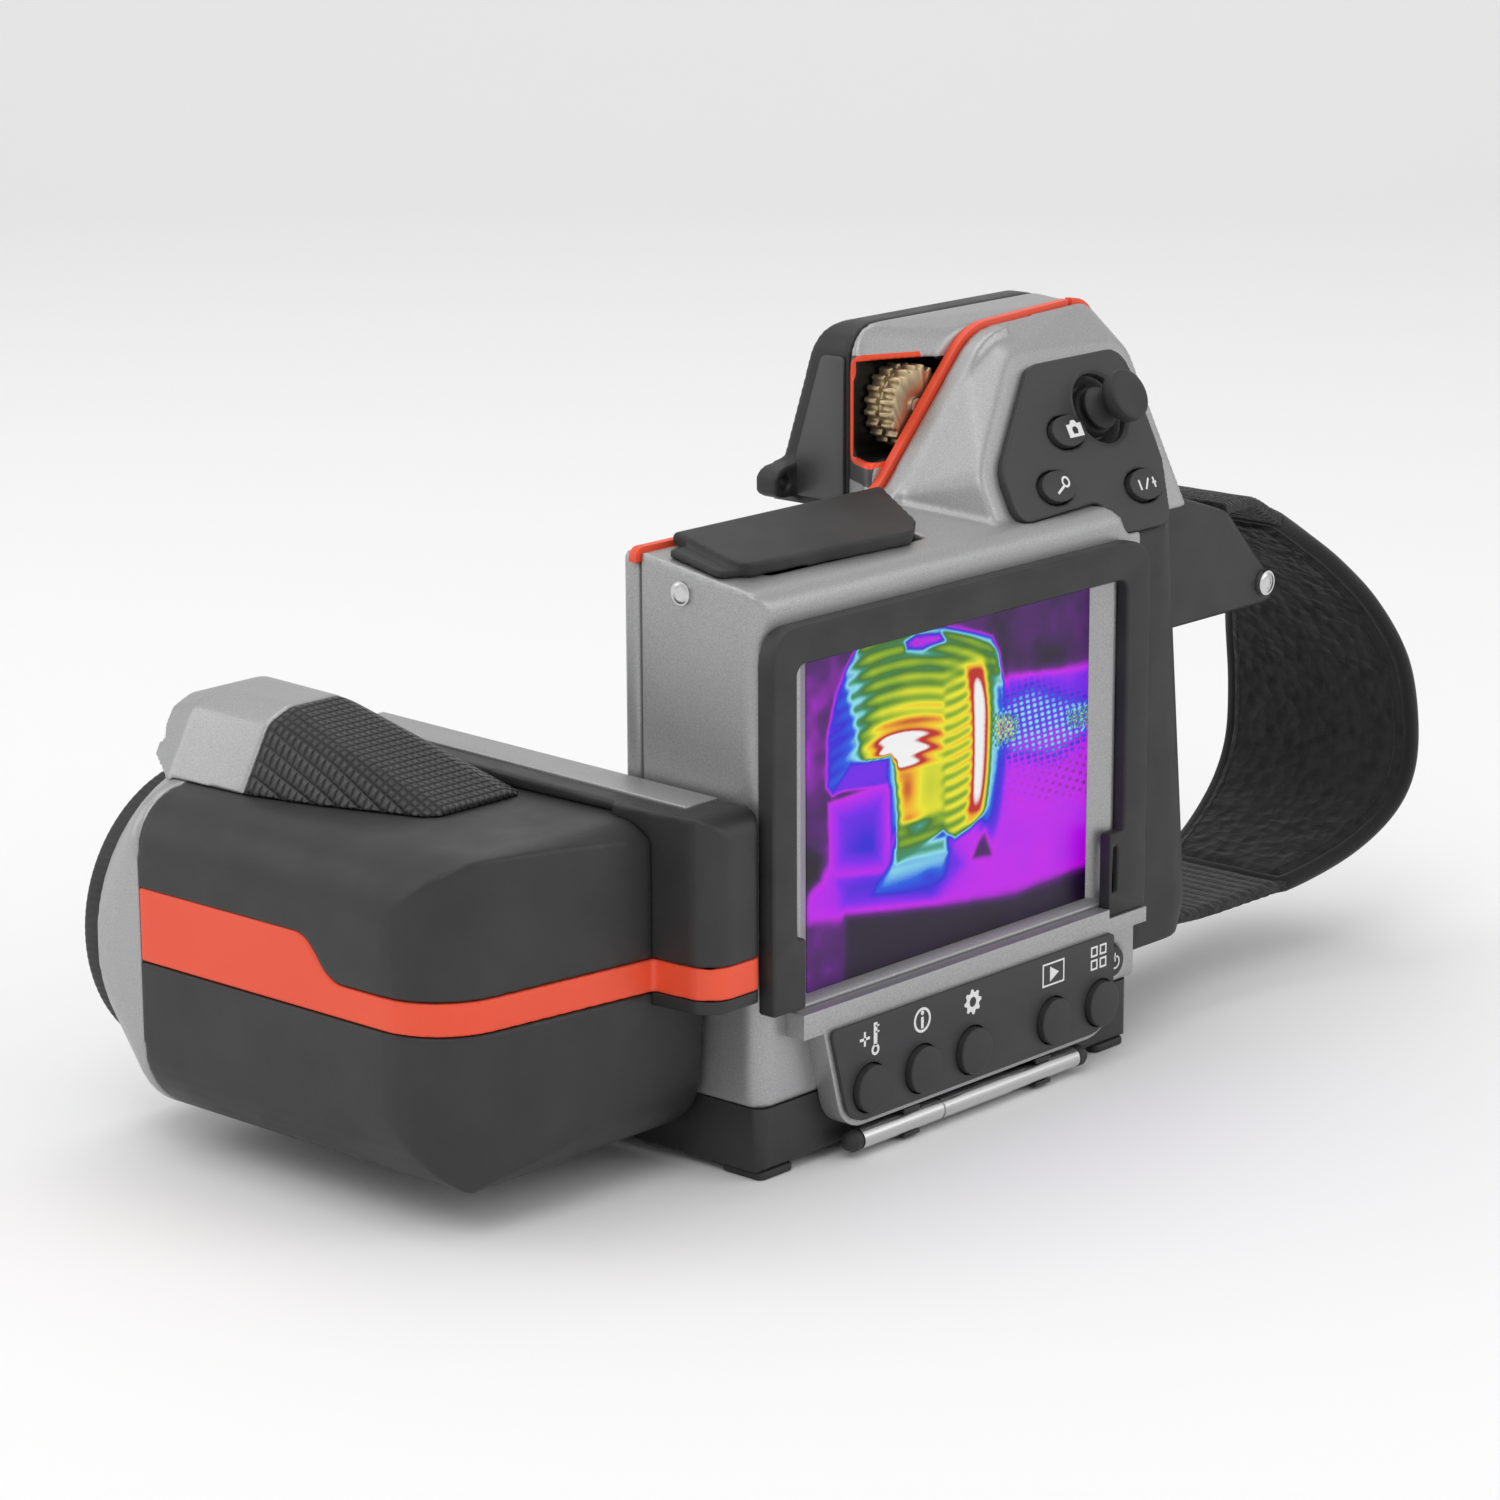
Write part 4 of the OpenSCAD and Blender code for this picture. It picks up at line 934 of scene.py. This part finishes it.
# ---------------------------------------------------------------- set, light, camera
floor_mat = Mat("studio_floor", (0.93, 0.93, 0.93), 0.8, 0, 0.2)
me = bpy.data.meshes.new("studio_floor")
s, n = 3.0, 24
pts, fcs = [], []
prof = [(-s, 0.0), (1.1, 0.0)] + [(1.1 + 0.5 * math.sin(a), 0.5 - 0.5 * math.cos(a)) for a in np.linspace(0.1,
    math.pi / 2, 12)] + [(1.6, 2.6)]
fx, fy = math.sin(math.radians(48)), math.cos(math.radians(48))
for d, h in prof:
    for w in (-s, s):
        pts.append((fx * d + fy * w, fy * d - fx * w, h - 0.0015))
for i in range(len(prof) - 1):
    fcs.append((2 * i, 2 * i + 1, 2 * i + 3, 2 * i + 2))
me.from_pydata(pts, [], fcs)
me.materials.append(floor_mat.m)
floor = bpy.data.objects.new("studio_floor", me)
bpy.context.scene.collection.objects.link(floor)
me.shade_smooth()

world = bpy.data.worlds.new("studio_world")
bpy.context.scene.world = world
world.use_nodes = True
world.node_tree.nodes["Background"].inputs[0].default_value = (1, 1, 1, 1)
world.node_tree.nodes["Background"].inputs[1].default_value = 0.66


def softbox(name, pos, target, size, power, color=(1, 1, 1)):
    l = bpy.data.lights.new(name, "AREA")
    l.shape, l.size, l.size_y, l.energy, l.color = "RECTANGLE", size[0], size[1], power, color
    o = bpy.data.objects.new(name, l)
    bpy.context.scene.collection.objects.link(o)
    o.location = pos
    o.rotation_euler = (Vector(target) - Vector(pos)).to_track_quat("-Z", "Y").to_euler()
    return o


bpy.context.scene.view_settings.view_transform = "Standard"
mid = (0.0, 0.0, 0.05)
softbox("key_light", (-0.75, -0.35, 1.0), mid, (0.7, 0.7), 3.0)
softbox("fill_light", (0.55, -1.0, 0.55), mid, (0.9, 0.7), 2.6)
softbox("top_light", (0.1, 0.35, 1.2), mid, (1.1, 0.8), 3.4)
softbox("rim_light", (-0.6, 0.9, 0.5), mid, (0.5, 0.8), 1.6)

cam = bpy.data.cameras.new("photo_camera")
cam.lens, cam.sensor_width = 110.12, 36
cam_obj = bpy.data.objects.new("photo_camera", cam)
bpy.context.scene.collection.objects.link(cam_obj)
az, el, roll = math.radians(-47.98), math.radians(14.42), math.radians(-0.24)
fwd = Vector((-math.sin(az) * math.cos(el), math.cos(az) * math.cos(el), -math.sin(el)))
right = Vector((math.cos(az), math.sin(az), 0))
up = right.cross(fwd)
right2 = right * math.cos(roll) + up * math.sin(roll)
up2 = up * math.cos(roll) - right * math.sin(roll)
m = Matrix((right2, up2, -fwd)).transposed().to_4x4()
m.translation = Vector((-0.55505, -0.47377, 0.2440))
cam_obj.matrix_world = m
cam.clip_start, cam.clip_end = 0.05, 20
bpy.context.scene.camera = cam_obj

import json
